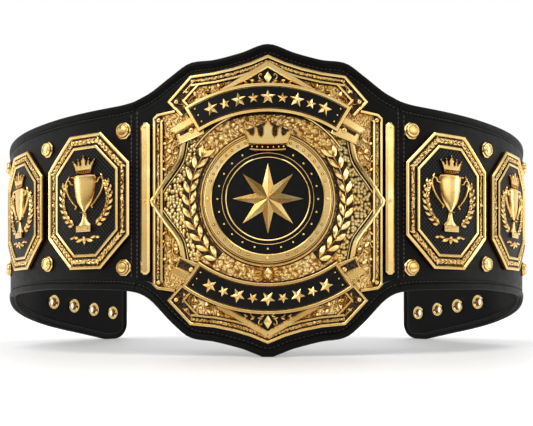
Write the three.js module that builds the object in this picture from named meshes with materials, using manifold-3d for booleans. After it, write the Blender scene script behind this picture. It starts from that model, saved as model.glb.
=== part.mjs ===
// A championship title belt, standing on a floor and curled into an open ring.
//
// Row frame: millimetres, +Z up, the main plate faces -Y and +X is to the right of someone who looks at it.
// Left and right are that viewer's. Z = 0 is the floor: the belt stands on the lower tip of its centre panel
// and on the corners of its two tongues.
//
// Every piece is drawn flat, in strap space, and then wrapped round the strap's plan curve. In strap space
// x runs along the strap from the belt's centre, y is the height above the floor, and z is how far a point
// stands out in front of the leather's face.
import * as THREE from 'three';
import { mergeVertices } from 'three/addons/utils/BufferGeometryUtils.js';
import Module from 'manifold-3d';

const wasm = await Module();
wasm.setup();

// Driving dimensions

const GAP = 0.3; // clearance between pieces that touch on the real belt
const BITE = 0.5; // how far shapes that are cast in one run into each other
const NEAR = 0.004; // two points this close are one

// The strap seen from above, as arcs from the belt's centre to a tongue's end.
const PLAN_ARCS = [
  { length: 120, radius: 474 }, // behind the main plate
  { length: 130, radius: 331 }, // behind the inner side plate
  { length: 120, radius: 270 }, // behind the outer side plate
  { length: 110, radius: 117 }, // round the hip
  { length: 168, radius: 1000 }, // the tongue
];
const WIDEST_COLUMN = 26; // widest facet of the curve, outside the rows of STRAP_EDGES

const HALF_LENGTH = 648;
const SEAM = 135; // where the centre panel meets the two straps
const LEATHER = 3; // thickness of each of the two layers
const ROLL_WIDTH = 7; // the rolled edge that runs round the leather
const ROLL_HEIGHT = 1.2;
const LINING_INSET = 0.8; // the lining stops short of the outer layer's edge
const TONGUE_CORNER = 24;

// Heights of the strap's two edges, with the distance from the belt's centre. Each row is a fold line of the
// faceted curve. The bars, the studs and the eyelets each sit on one flat facet between two rows.
const STRAP_EDGES = [
  { along: 0, top: 303.5, bottom: 0 },
  { along: 26, top: 295.2, bottom: 8 },
  { along: 52, top: 289.2, bottom: 14.5 },
  { along: 77, top: 287, bottom: 18.7 },
  { along: 95, top: 276, bottom: 32.5 },
  { along: 115.8, top: 262, bottom: 53.5 },
  { along: 126.6, top: 257, bottom: 60.5 },
  { along: 137.2, top: 253.3, bottom: 63.5 },
  { along: 155.8, top: 251, bottom: 65.5 },
  { along: 241.6, top: 248.5, bottom: 67.5 },
  { along: 260.4, top: 248, bottom: 67.3 },
  { along: 360.6, top: 246, bottom: 62.5 },
  { along: 379.4, top: 243, bottom: 59.5 },
  { along: 404, top: 234.5, bottom: 50 },
  { along: 430, top: 222, bottom: 41 },
  { along: 456, top: 205.5, bottom: 33.2 },
  { along: 487.9, top: 182.5, bottom: 24.2 },
  { along: 509.1, top: 166, bottom: 19.3 },
  { along: 527, top: 152.8, bottom: 15.5 },
  { along: 548.2, top: 138.8, bottom: 11.5 },
  { along: 566.1, top: 128, bottom: 7.9 },
  { along: 587.3, top: 117, bottom: 3.6 },
  { along: 605.2, top: 108.2, bottom: 0 },
  { along: 626.4, top: 98.4, bottom: 0 },
  { along: 648, top: 88.6, bottom: 0 },
];
// Further points of the edges, between fold lines: the flat of the lower tip and the shoulders.
const EDGE_POINTS = [6, 16, 39, 65, 86, 105];
const TIP_FLAT = 6; // half the width of the flat that the belt stands on

const EYELETS = { count: 4, first: 498.5, spacing: 39.1, height: 56.5, drop: 5.2 };
const EYELET = { bore: 5.4, barrel: 6.3, flange: 10, flangeHeight: 1, sides: 10 };
const PUNCH_RADIUS = EYELET.barrel + GAP;

// The main plate: a cast plate with raised rails, in coordinates about its centre.
const PLATE_HEIGHT = 152;
const FLOOR_FRONT = 3;
const RAIL_FRONT = 5.4;
const PLATE_EDGE = [
  { u: 0, v: 139 },
  { u: 16.5, v: 132 },
  { u: 33, v: 127 },
  { u: 52, v: 123.2 },
  { u: 75, v: 121 },
  { u: 98, v: 97 },
  { u: 90.5, v: 88.8 },
  { u: 108.5, v: 86 },
  { u: 113, v: 82 },
];
const CREST_TIP = 5; // the row of PLATE_EDGE that is the crest's outer tip
const CREST_FOOT = { u: 84, v: 81.7 };
const RIM_WIDTH = 2.6;
const CREST_RAIL = { inset: 10, width: 2 };
const BODY_RAIL = { inset: 8.5, width: 2 };
const GABLE = { peak: 134, fall: 0.59, reach: 50, width: 6.2 };
const SCREWS = [
  { u: 89, v: 96.5 },
  { u: 107, v: 79.5 },
];
const SCREW = { radius: 2.5, height: 1.4, sides: 8 };
const KITE = [
  { u: 116, v: 1 },
  { u: 102.5, v: 20 },
  { u: 92, v: 33.5 },
  { u: 86.5, v: 43.5 },
  { u: 83, v: 62 },
];
const KITE_WIDTH = 4.5;
const GEMS = [
  { v: 117.5, halfWidth: 3.6, halfHeight: 6 },
  { v: -70.8, halfWidth: 4, halfHeight: 5.2 },
  { v: -118, halfWidth: 4, halfHeight: 6.5 },
];

// The two curved banners. sign is 1 for the upper one, whose arc is centred below the plate's centre.
const BANNERS = [
  { name: 'upper', sign: 1, centre: -47, outer: 158, inner: 130.5, halfAngle: 30.3 },
  { name: 'lower', sign: -1, centre: -31.6, outer: 142, inner: 112.5, halfAngle: 35.6 },
];
const BANNER_BACK = RAIL_FRONT + GAP;
const BANNER_FRONT = BANNER_BACK + 1.5;
const BANNER_RIM = { width: 3.2, height: 1.5 };
const BANNER_STEPS = 10;
const TAIL_FRONT = BANNER_FRONT - 0.2; // the ribbon's folded tails lie a little lower
const TAIL_FOLD = [
  { u: 74, v: 82 },
  { u: 97, v: 69.2 },
  { u: 89.1, v: 64.8 },
  { u: 67, v: 76 },
];
const TAIL_END = [
  { u: 90, v: 66.3 },
  { u: 85.8, v: 54.1 },
  { u: 60.4, v: 63.9 },
  { u: 66, v: 78 },
];

const ENAMEL = 0.7; // thickness of the black enamel fields
const GABLE_FIELD = { reach: 26, clearance: 5 * GAP, steps: 6 };

const CENTRE_V = 0.5; // the centre disc's height on the plate
const DISC_RADIUS = 53.2;
const DISC_FRONT = 4.6;
const BEZEL = { inner: 53.6, outer: 61, rim: 65.2, front: 7.2, rimFront: 4.8, sides: 36 };
const STAR = { points: 8, outer: 36, inner: 14, edge: 1.2, peak: 3.6 };

const CROWN = [
  { u: 0, v: 77 },
  { u: 4.2, v: 67 },
  { u: 6.4, v: 60.5 },
  { u: 10.2, v: 65.5 },
  { u: 12, v: 70.8 },
  { u: 13.6, v: 66 },
  { u: 15.2, v: 61.5 },
  { u: 24.2, v: 68.5 },
  { u: 18, v: 53.5 },
  { u: 16.8, v: 45.6 },
  { u: 9, v: 46.8 },
  { u: 0, v: 47.3 },
];
const CROWN_BACK = BEZEL.front + GAP;
const CROWN_FRONT = 10;

const LAUREL = { radius: 75.5, from: -48, to: 33, stem: 1.8, stemDrop: 0.6 };
const LEAVES = { pairs: 8, from: -45, to: 30, length: 15, halfWidth: 2.5, lean: 27, stagger: 1 };
const LAUREL_BACK = FLOOR_FRONT + GAP;
const LAUREL_FRONT = 5.6;

const BAR = { along: 121.2, halfWidth: 4.7, from: 80.5, to: 230.5, front: 5.6, chamfer: 2, cut: 2.6 };
const BAR_BEAD = { radius: 2.2, height: 1.2, sides: 6 };

// The four side plates: octagons whose corners are cut at 45 degrees.
const SIDE_PLATES = [
  { name: 'inner', along: 191.7, scale: 1 },
  { name: 'outer', along: 307.5, scale: 0.95 },
];
const SIDE_CENTRE = 156.5;
const OCTAGON = { halfWidth: 53.2, halfHeight: 69.2, cut: 33 };
const OCTAGON_FRAME = 15.5;
const OCTAGON_RIM = 3;
const OCTAGON_RAIL = 2.4;
const SIDE_FLOOR = 3.2;
const SIDE_RAIL_FRONT = 5.6;
const TROPHY_BACK = SIDE_FLOOR + ENAMEL + 2 * GAP;
const TROPHY_FRONT = TROPHY_BACK + 2.4;
const CUP = [
  { u: 14.8, v: 27 },
  { u: 12.8, v: 8 },
  { u: 8.2, v: -4 },
  { u: 3.2, v: -8.5 },
  { u: 2.4, v: -12 },
  { u: 3.4, v: -16 },
  { u: 9, v: -25 },
  { u: 9, v: -30.5 },
];
const CUP_CROWN = [
  { u: 0, v: 45.5 },
  { u: 4, v: 35 },
  { u: 7.6, v: 40 },
  { u: 9.4, v: 35 },
  { u: 14.3, v: 39.5 },
  { u: 11, v: 26 },
];
const CUP_HANDLE = [
  { u: 11.5, v: 20 },
  { u: 17, v: 25 },
  { u: 22.5, v: 24.5 },
  { u: 24.3, v: 17 },
  { u: 20.5, v: 4 },
  { u: 9, v: -4.5 },
];
const HANDLE_WIDTH = 2;
const WREATH = { radius: 29.5, centre: 4, from: -62, to: 30, leaves: 5, tip: 4, notch: 1.1, lean: 0.8 };
const WREATH_STEM = { u: 6, v: -28, width: 2.2 };

// Studs on the leather, in pairs above and below the side plates' centre line.
const STUD_PAIRS = [
  { name: 'inner', along: 146.5, halfSpacing: 68.5 },
  { name: 'middle', along: 251, halfSpacing: 61.5 },
  { name: 'outer', along: 370, halfSpacing: 61.5 },
];
const STUD_SIDES = 8;
const STUD_PROFILE = [
  { radius: 0, out: GAP },
  { radius: 8.8, out: GAP },
  { radius: 8.8, out: 2.2 },
  { radius: 6, out: 4.6 },
  { radius: 0, out: 5.9 },
];

const DOME = { inwards: 0.8, up: 0.6 }; // the shoulder of a screw's or a bead's dome, as shares

const MATERIALS = {
  leather: new THREE.MeshStandardMaterial({ color: 0x151515, roughness: 0.55, metalness: 0 }),
  lining: new THREE.MeshStandardMaterial({ color: 0x101010, roughness: 0.7, metalness: 0 }),
  gold: new THREE.MeshStandardMaterial({ color: 0xc9983f, roughness: 0.3, metalness: 1 }),
  enamel: new THREE.MeshStandardMaterial({ color: 0x0b0b0b, roughness: 0.35, metalness: 0 }),
};

// Flat outlines, as lists of points

const point = (u, v) => new THREE.Vector2(u, v);
const points = (rows) => rows.map((row) => point(row.u, row.v));
const mirrored = (list) => list.map((p) => point(-p.x, p.y)).reverse();
const flipped = (list) => list.map((p) => point(p.x, -p.y)).reverse();
const shifted = (list, u, v, scale = 1) => list.map((p) => point(u + p.x * scale, v + p.y * scale));
const polar = (u, v, radius, degrees) => {
  const angle = THREE.MathUtils.degToRad(degrees);
  return point(u + radius * Math.cos(angle), v + radius * Math.sin(angle));
};
const steps = (count) => Array.from({ length: count }, (_, i) => i);
const arc = (u, v, radius, from, to, count) =>
  steps(count + 1).map((i) => polar(u, v, radius, from + ((to - from) * i) / count));
const circle = (u, v, radius, sides) => arc(u, v, radius, 0, 360 - 360 / sides, sides - 1);

function counterClockwise(list) {
  return THREE.ShapeUtils.isClockWise(list) ? [...list].reverse() : list;
}

// The corner that two lines make, each moved to its left by distance.
function mitre(before, corner, after, distance) {
  const into = corner.clone().sub(before).normalize();
  const out = after.clone().sub(corner).normalize();
  const half = point(-into.y - out.y, into.x + out.x).normalize();
  const reach = distance / Math.max(0.3, half.dot(point(-into.y, into.x)));
  return corner.clone().addScaledVector(half, reach);
}

// A closed outline moved inwards.
function inset(outline, distance) {
  const loop = counterClockwise(outline);
  const count = loop.length;
  return loop.map((p, i) => mitre(loop[(i + count - 1) % count], p, loop[(i + 1) % count], distance));
}

// An open line moved to its left.
function besideLine(line, distance) {
  return line.map((p, i) => {
    const before = line[i - 1] ?? p.clone().multiplyScalar(2).sub(line[i + 1]);
    const after = line[i + 1] ?? p.clone().multiplyScalar(2).sub(line[i - 1]);
    return mitre(before, p, after, distance);
  });
}

// The band between two lines beside an open line.
function band(line, near, far) {
  return [...besideLine(line, near), ...besideLine(line, far).reverse()];
}

// Where the faceted curve is folded, on the right half of the belt.
const FOLD_LINES = STRAP_EDGES.flatMap(({ along }, i) => {
  const run = (STRAP_EDGES[i + 1]?.along ?? along) - along;
  const parts = Math.max(1, Math.ceil(along < PLAN_ARCS[0].length ? 1 : run / WIDEST_COLUMN));
  return steps(parts).map((k) => along + (run * k) / parts);
});

// The cubic curve through a column of STRAP_EDGES, read at one place along the strap.
function edgeHeight(along, column) {
  const at = Math.abs(along);
  if (column === 'bottom' && at <= TIP_FLAT) return 0;
  const last = STRAP_EDGES.length - 1;
  const i = Math.min(last - 1, Math.max(0, STRAP_EDGES.findIndex((row) => row.along > at) - 1));
  const [low, high] = [STRAP_EDGES[i], STRAP_EDGES[i + 1]];
  const slope = (k) => {
    if (k === 0 || k === last) return 0;
    const [a, b] = [STRAP_EDGES[k - 1], STRAP_EDGES[k + 1]];
    return (b[column] - a[column]) / (b.along - a.along);
  };
  const run = high.along - low.along;
  const t = Math.min(1, (at - low.along) / run);
  if (low[column] === high[column]) return low[column];
  return (
    low[column] * (1 + 2 * t) * (1 - t) ** 2 +
    slope(i) * run * t * (1 - t) ** 2 +
    high[column] * (3 - 2 * t) * t ** 2 +
    slope(i + 1) * run * (t - 1) * t ** 2
  );
}

// One edge of the strap from one place to another, moved into the strap by inset.
function edgeLine(from, to, column, inset = 0) {
  const places = [...FOLD_LINES, ...EDGE_POINTS].flatMap((along) => [along, -along]);
  const [low, high] = [Math.min(from, to), Math.max(from, to)];
  const between = [...new Set(places)].filter((along) => along > low + 1 && along < high - 1);
  const line = [low, ...between.sort((a, b) => a - b), high].map((along) => {
    const slope = edgeHeight(along + 1, column) - edgeHeight(along - 1, column);
    const drop = inset * Math.hypot(1, slope / 2);
    return point(along, edgeHeight(along, column) + (column === 'top' ? -drop : drop));
  });
  return from < to ? line : line.reverse();
}

// Solids in strap space

function solid(geometry) {
  geometry.deleteAttribute('normal');
  geometry.deleteAttribute('uv');
  const merged = mergeVertices(geometry.index ? geometry.toNonIndexed() : geometry, 1e-4);
  const index = merged.index.array;
  const kept = [];
  for (let i = 0; i < index.length; i += 3) {
    const [a, b, c] = index.slice(i, i + 3);
    if (a !== b && b !== c && c !== a) kept.push(a, b, c);
  }
  return new wasm.Manifold(
    new wasm.Mesh({
      numProp: 3,
      vertProperties: merged.attributes.position.array,
      triVerts: new Uint32Array(kept),
    }),
  );
}

const joined = (list) => list.reduce((all, next) => all.add(next));

function slab(outline, back, front, holes = []) {
  const shape = new THREE.Shape(outline);
  shape.holes = holes.map((hole) => new THREE.Path(hole));
  const geometry = new THREE.ExtrudeGeometry(shape, { depth: front - back, bevelEnabled: false });
  return solid(geometry.translate(0, 0, back));
}

// A slab whose front edge is chamfered.
function chamferedSlab(outline, back, front, chamfer) {
  const geometry = new THREE.ExtrudeGeometry(new THREE.Shape(inset(outline, chamfer)), {
    depth: front - back - 2 * chamfer,
    bevelThickness: chamfer,
    bevelSize: chamfer,
    bevelSegments: 1,
  });
  const block = solid(geometry.translate(0, 0, back + chamfer));
  return block.add(slab(outline, back, front - chamfer));
}

// A turned piece whose axis stands out of the leather. Its corners lie in the same directions as a circle's.
function turned(profile, sides, u, v, turn = 0) {
  const geometry = new THREE.LatheGeometry(profile, sides);
  return solid(geometry.rotateX(Math.PI / 2).rotateZ(turn - Math.PI / 2).translate(u, v, 0));
}

// A low dome with one shoulder.
function dome(u, v, radius, back, front, sides) {
  const shoulder = point(radius * DOME.inwards, back + (front - back) * DOME.up);
  const profile = [point(0, back), point(radius, back), shoulder, point(0, front)];
  return turned(profile, sides, u, v);
}

// An outline with upright sides and a faceted top that rises to one peak.
function faceted(outline, u, v, back, edge, peak) {
  const loop = counterClockwise(outline);
  const positions = [];
  loop.forEach((p, i) => {
    const q = loop[(i + 1) % loop.length];
    const low = [p.x, p.y, back, q.x, q.y, back];
    positions.push(q.x, q.y, back, p.x, p.y, back, u, v, back);
    positions.push(...low, q.x, q.y, edge);
    positions.push(p.x, p.y, back, q.x, q.y, edge, p.x, p.y, edge);
    positions.push(p.x, p.y, edge, q.x, q.y, edge, u, v, peak);
  });
  const geometry = new THREE.BufferGeometry();
  geometry.setAttribute('position', new THREE.Float32BufferAttribute(positions, 3));
  return solid(geometry);
}

function starOutline(u, v, count, outer, inner) {
  return steps(2 * count).map((i) => polar(u, v, i % 2 ? inner : outer, 90 + (180 * i) / count));
}

// Wrapping round the plan curve

// Where the smooth plan curve is, and which way is out of it, at a distance from the belt's centre.
function planAt(along) {
  let [x, y, angle, left] = [0, 0, 0, along];
  for (const [i, { length, radius }] of PLAN_ARCS.entries()) {
    const run = i === PLAN_ARCS.length - 1 ? left : Math.min(left, length);
    const end = angle + run / radius;
    x += radius * (Math.sin(end) - Math.sin(angle));
    y += radius * (Math.cos(angle) - Math.cos(end));
    angle = end;
    left -= run;
    if (left <= 0) break;
  }
  return { x, y, outX: Math.sin(angle), outY: -Math.cos(angle) };
}

// A flat point on the faceted curve: between two fold lines every layer of the belt stays flat.
function bent(p) {
  const at = Math.abs(p.x);
  const i = Math.min(FOLD_LINES.length - 1, FOLD_LINES.findIndex((along) => along > at - NEAR) || 1);
  const place = (along) => {
    const plan = planAt(along);
    return new THREE.Vector3(plan.x + p.z * plan.outX, plan.y + p.z * plan.outY, p.y);
  };
  const share = (at - FOLD_LINES[i - 1]) / (FOLD_LINES[i] - FOLD_LINES[i - 1]);
  const result = place(FOLD_LINES[i - 1]).lerp(place(FOLD_LINES[i]), share);
  return result.setX(Math.sign(p.x) * result.x);
}

const vertexOf = (mesh, i) => new THREE.Vector3().fromArray(mesh.vertProperties, i * mesh.numProp);

// Cuts a flat piece at the fold lines. The result is one closed surface again: facets that meet at a line
// share its vertices, and the faces that the cuts leave inside the piece are dropped.
function folded(flat) {
  const { min, max } = flat.boundingBox();
  const both = [...FOLD_LINES.slice(1).map((along) => -along).reverse(), ...FOLD_LINES];
  const lines = both.filter((along) => along > min[0] + NEAR && along < max[0] - NEAR);
  const onLine = lines.map(() => []);
  const vertices = [];
  const triangles = [];
  const vertexAt = (p) => {
    const shared = onLine[lines.findIndex((along) => Math.abs(p.x - along) < NEAR)] ?? [];
    const known = shared.find((vertex) => vertices[vertex].distanceTo(p) < NEAR);
    if (known !== undefined) return known;
    shared.push(vertices.push(p) - 1);
    return vertices.length - 1;
  };
  const whole = flat.asOriginal().simplify(NEAR);
  const ends = [min[0] - 1, ...lines, max[0] + 1];
  for (const i of steps(ends.length - 1)) {
    const facet = whole.trimByPlane([1, 0, 0], ends[i]).trimByPlane([-1, 0, 0], -ends[i + 1]);
    const mesh = facet.asOriginal().simplify(NEAR / 2).getMesh();
    const ids = steps(mesh.numVert).map((k) => vertexAt(vertexOf(mesh, k)));
    for (const k of steps(mesh.numTri)) {
      const triangle = [...mesh.triVerts.slice(3 * k, 3 * k + 3)].map((c) => ids[c]);
      const isCut = onLine.some((shared) => triangle.every((vertex) => shared.includes(vertex)));
      if (!isCut && new Set(triangle).size === 3) triangles.push(triangle);
    }
  }
  return { vertices, triangles: triangles.flatMap((triangle) => splitAtLines(triangle, vertices, onLine)) };
}

// Splits a triangle whose edge passes other vertices on a fold line.
function splitAtLines(triangle, vertices, onLine) {
  for (const k of steps(3)) {
    const [from, to, apex] = steps(3).map((i) => triangle[(k + i) % 3]);
    const edge = new THREE.Line3(vertices[from], vertices[to]);
    const closest = new THREE.Vector3();
    const passed = (onLine.find((shared) => shared.includes(from) && shared.includes(to)) ?? [])
      .filter((vertex) => vertex !== from && vertex !== to)
      .map((vertex) => ({ vertex, share: edge.closestPointToPointParameter(vertices[vertex], false) }))
      .filter(({ vertex, share }) => edge.at(share, closest).distanceTo(vertices[vertex]) < NEAR)
      .filter(({ share }) => share > 0 && share < 1)
      .sort((one, other) => one.share - other.share);
    if (passed.length === 0) continue;
    const line = [from, ...passed.map(({ vertex }) => vertex), to];
    return line.slice(1).map((vertex, i) => [line[i], vertex, apex]);
  }
  return [triangle];
}

// Bends a flat piece round the plan curve.
function wrapped(flat) {
  const { vertices, triangles } = folded(flat);
  const positions = vertices.flatMap((p) => bent(p).toArray());
  const geometry = new THREE.BufferGeometry();
  geometry.setAttribute('position', new THREE.Float32BufferAttribute(positions, 3));
  geometry.setIndex(triangles.flat());
  geometry.computeVertexNormals();
  return geometry;
}

// Leather

function eyeletPlaces() {
  return steps(EYELETS.count).map((i) =>
    point(EYELETS.first + EYELETS.spacing * i, EYELETS.height - EYELETS.drop * i),
  );
}

// The right strap's free edge, from the top of the seam round the tongue to the seam's foot.
function strapEdge(inset, start) {
  const radius = TONGUE_CORNER - inset;
  const turn = HALF_LENGTH - TONGUE_CORNER;
  const last = STRAP_EDGES.at(-1);
  const before = STRAP_EDGES.at(-3);
  const fall = Math.atan((before.top - last.top) / (last.along - before.along));
  const corner = edgeHeight(turn, 'top') - TONGUE_CORNER / Math.cos(fall);
  const leaning = 90 - THREE.MathUtils.radToDeg(fall);
  return [
    ...edgeLine(start, before.along, 'top', inset),
    ...arc(turn, corner, radius, leaning, 0, 3),
    ...arc(turn, TONGUE_CORNER, radius, 0, -90, 4),
    ...edgeLine(before.along, start, 'bottom', inset),
  ];
}

function centreEdges(inset, end) {
  return [...edgeLine(-end, end, 'top', inset), ...edgeLine(end, -end, 'bottom', inset)];
}

const punchHoles = () => eyeletPlaces().map((p) => circle(p.x, p.y, PUNCH_RADIUS, EYELET.sides));
const layerBack = -2 * LEATHER - GAP;

function strapPanel() {
  const start = SEAM + GAP / 2;
  const roll = [...strapEdge(0, start), ...strapEdge(ROLL_WIDTH, start).reverse()];
  return slab(strapEdge(0, start), -LEATHER, 0, punchHoles()).add(slab(roll, -BITE, ROLL_HEIGHT));
}

function strapLining() {
  const outline = strapEdge(LINING_INSET, SEAM + GAP / 2 + LINING_INSET);
  return slab(outline, layerBack, -LEATHER - GAP, punchHoles());
}

function centrePanel() {
  const end = SEAM - GAP / 2;
  const rolls = ['top', 'bottom'].map((column) => {
    const outline = [...edgeLine(-end, end, column), ...edgeLine(end, -end, column, ROLL_WIDTH)];
    return slab(outline, -BITE, ROLL_HEIGHT);
  });
  return joined([slab(centreEdges(0, end), -LEATHER, 0), ...rolls]);
}

function centreLining() {
  return slab(centreEdges(LINING_INSET, SEAM - GAP / 2 - LINING_INSET), layerBack, -LEATHER - GAP);
}

// A rolled eyelet: a barrel through both layers, with a flange on each face.
function eyelet(place) {
  const { bore, barrel, flange, flangeHeight, sides } = EYELET;
  const back = -2 * LEATHER - 2 * GAP;
  const front = GAP;
  const profile = [
    point(bore, back - flangeHeight),
    point(flange, back),
    point(barrel, back),
    point(barrel, front),
    point(flange, front),
    point(bore, front + flangeHeight),
    point(bore, back - flangeHeight),
  ];
  return turned(profile, sides, place.x, place.y);
}

// Main plate

const onPlate = (list) => shifted(list, 0, PLATE_HEIGHT);

// The plate's whole outline from the quarter in PLATE_EDGE.
function plateOutline() {
  const quarter = points(PLATE_EDGE);
  const half = [...quarter, ...flipped(quarter)];
  return [...half, ...mirrored(half.slice(1, -1))];
}

// The crest's line over the top, from one foot to the other.
function crestLine() {
  const half = [...points(PLATE_EDGE.slice(0, CREST_TIP + 1)), points([CREST_FOOT])[0]];
  return [...mirrored(half.slice(1)), ...half];
}

// The body's line down one side, from notch to notch.
function bodyLine() {
  const quarter = points(PLATE_EDGE.slice(CREST_TIP + 1));
  return [...quarter, ...flipped(quarter)];
}

// The outline of the two bars that meet at the crest's peak.
function gableLine() {
  const { peak, fall, reach } = GABLE;
  return [point(-reach, peak - fall * reach), point(0, peak), point(reach, peak - fall * reach)];
}

function kiteLine() {
  const half = points(KITE);
  return [...[...half].reverse(), ...flipped(half).reverse().slice(1)];
}

function mainPlate() {
  const rail = (outline) => slab(onPlate(outline), FLOOR_FRONT - BITE, RAIL_FRONT);
  const upper = [
    band(crestLine(), 0, -RIM_WIDTH),
    band(crestLine(), -CREST_RAIL.inset, -CREST_RAIL.inset - CREST_RAIL.width),
    band(gableLine(), 0, -GABLE.width),
  ];
  const right = [
    band(bodyLine(), 0, -RIM_WIDTH),
    band(bodyLine().slice(1, -1), -BODY_RAIL.inset, -BODY_RAIL.inset - BODY_RAIL.width),
    band(kiteLine(), 0, -KITE_WIDTH),
  ];
  const screws = SCREWS.flatMap(({ u, v }) => [
    [u, v],
    [-u, v],
    [u, -v],
    [-u, -v],
  ]).map(([u, v]) => dome(u, PLATE_HEIGHT + v, SCREW.radius, FLOOR_FRONT - BITE, RAIL_FRONT, SCREW.sides));
  const gems = GEMS.map(({ v, halfWidth, halfHeight }) => {
    const outline = [point(halfWidth, 0), point(0, halfHeight), point(-halfWidth, 0), point(0, -halfHeight)];
    const placed = shifted(outline, 0, PLATE_HEIGHT + v);
    return faceted(placed, 0, PLATE_HEIGHT + v, FLOOR_FRONT - BITE, FLOOR_FRONT + 1, RAIL_FRONT);
  });
  return joined([
    slab(onPlate(plateOutline()), GAP, FLOOR_FRONT),
    ...[...upper, ...upper.map(flipped)].map(rail),
    ...[...right, ...right.map(mirrored)].map(rail),
    ...screws,
    ...gems,
  ]);
}

// The black field under the gable bars, cut off by the banner's arc and left open round the gem.
function gableEnamel({ sign, centre, outer }, gem) {
  const { reach, clearance, steps: count } = GABLE_FIELD;
  const top = GABLE.peak - GABLE.width / Math.cos(Math.atan(GABLE.fall)) - clearance;
  const bottom = steps(count + 1).map((i) => {
    const u = reach - (2 * reach * i) / count;
    return point(u, centre + Math.sqrt(outer ** 2 - u ** 2) + GAP);
  });
  const side = top - GABLE.fall * reach;
  const outline = [point(-reach, side), point(0, top), point(reach, side), ...bottom];
  const [width, height] = [gem.halfWidth + GAP * 2, gem.halfHeight + GAP * 2];
  const lozenge = [point(width, 0), point(0, height), point(-width, 0), point(0, -height)];
  const back = FLOOR_FRONT + GAP;
  const flat = (list) => shifted(sign > 0 ? list : flipped(list), 0, PLATE_HEIGHT);
  return slab(flat(outline), back, back + ENAMEL).subtract(
    slab(shifted(lozenge, 0, PLATE_HEIGHT + gem.v), back - 1, back + ENAMEL + 1),
  );
}

// Banners

function bannerOutline({ centre, outer, inner, halfAngle }, margin) {
  const swing = (radius) => halfAngle - THREE.MathUtils.radToDeg(margin / radius);
  const wide = outer - margin;
  const narrow = inner + margin;
  return [
    ...arc(0, centre, wide, 90 - swing(wide), 90 + swing(wide), BANNER_STEPS),
    ...arc(0, centre, narrow, 90 + swing(narrow), 90 - swing(narrow), BANNER_STEPS),
  ];
}

function placeBanner(banner, outline) {
  return onPlate(banner.sign > 0 ? outline : flipped(outline));
}

function banner(row) {
  const place = (outline) => placeBanner(row, outline);
  const rimFront = BANNER_FRONT + BANNER_RIM.height;
  const tails = [points(TAIL_FOLD), points(TAIL_END)].flatMap((tail) => [tail, mirrored(tail)]);
  const outer = place(bannerOutline(row, 0));
  const inner = place(bannerOutline(row, BANNER_RIM.width));
  return joined([
    slab(outer, BANNER_BACK, BANNER_FRONT),
    slab(outer, BANNER_FRONT - BITE, rimFront, [inner]),
    ...tails.map((outline) => slab(place(outline), BANNER_BACK, TAIL_FRONT)),
  ]);
}

function bannerEnamel(row) {
  const back = BANNER_FRONT + GAP;
  return slab(placeBanner(row, bannerOutline(row, BANNER_RIM.width + GAP)), back, back + ENAMEL);
}

// Centre of the main plate

const CENTRE_HEIGHT = PLATE_HEIGHT + CENTRE_V;

function bezel() {
  const { inner, outer, rim, front, rimFront, sides } = BEZEL;
  const profile = [
    point(inner, FLOOR_FRONT + GAP),
    point(rim, FLOOR_FRONT + GAP),
    point(rim, rimFront),
    point(outer, rimFront),
    point(outer, front),
    point(inner, front),
    point(inner, FLOOR_FRONT + GAP),
  ];
  return turned(profile, sides, 0, CENTRE_HEIGHT);
}

function centreDisc() {
  return slab(circle(0, CENTRE_HEIGHT, DISC_RADIUS, BEZEL.sides), FLOOR_FRONT + GAP, DISC_FRONT);
}

function centreStar() {
  const outline = starOutline(0, CENTRE_HEIGHT, STAR.points, STAR.outer, STAR.inner);
  const back = DISC_FRONT + GAP;
  return faceted(outline, 0, CENTRE_HEIGHT, back, back + STAR.edge, back + STAR.peak);
}

function crown() {
  const half = points(CROWN);
  const outline = [...half, ...mirrored(half.slice(1, -1))];
  return slab(onPlate(outline), CROWN_BACK, CROWN_FRONT);
}

// One laurel branch, on the right: a stem on a circle, with pairs of leaves that lean away from it.
function laurel() {
  const { radius, from, to, stem, stemDrop } = LAUREL;
  const { pairs, length, halfWidth, lean, stagger } = LEAVES;
  const line = arc(0, CENTRE_HEIGHT, radius, from, to, 8);
  const pieces = [slab(band(line, stem / 2, -stem / 2), LAUREL_BACK, LAUREL_FRONT - stemDrop)];
  for (const i of steps(pairs)) {
    const turn = LEAVES.from + ((LEAVES.to - LEAVES.from) * i) / (pairs - 1);
    for (const tilt of [lean, -lean]) {
      const root = polar(0, CENTRE_HEIGHT, radius, turn + stagger * Math.sign(tilt));
      const way = turn + 90 + tilt;
      const middle = polar(root.x, root.y, length / 2, way);
      const outline = [
        root,
        polar(middle.x, middle.y, halfWidth, way - 90),
        polar(root.x, root.y, length, way),
        polar(middle.x, middle.y, halfWidth, way + 90),
      ];
      pieces.push(slab(outline, LAUREL_BACK, LAUREL_FRONT));
    }
  }
  return joined(pieces);
}

function sideBar() {
  const { along, halfWidth, from, to, front, chamfer, cut } = BAR;
  const half = [point(halfWidth, from + cut), point(halfWidth, to - cut), point(halfWidth - cut, to)];
  const right = [point(halfWidth - cut, from), ...half];
  const outline = shifted([...right, ...mirrored(right)], along, 0);
  const bar = chamferedSlab(outline, GAP, front, chamfer);
  const { radius, height, sides } = BAR_BEAD;
  return bar.add(dome(along, (from + to) / 2, radius, front - BITE, front + height, sides));
}

// Side plates

function octagon(scale, distance) {
  const { halfWidth, halfHeight, cut } = OCTAGON;
  const corner = [
    point(halfWidth, halfHeight - cut),
    point(halfWidth - cut, halfHeight),
    point(-halfWidth + cut, halfHeight),
    point(-halfWidth, halfHeight - cut),
  ];
  const outline = [...corner, ...corner.map((p) => point(-p.x, -p.y))];
  return inset(outline.map((p) => p.multiplyScalar(scale)), distance);
}

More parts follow.
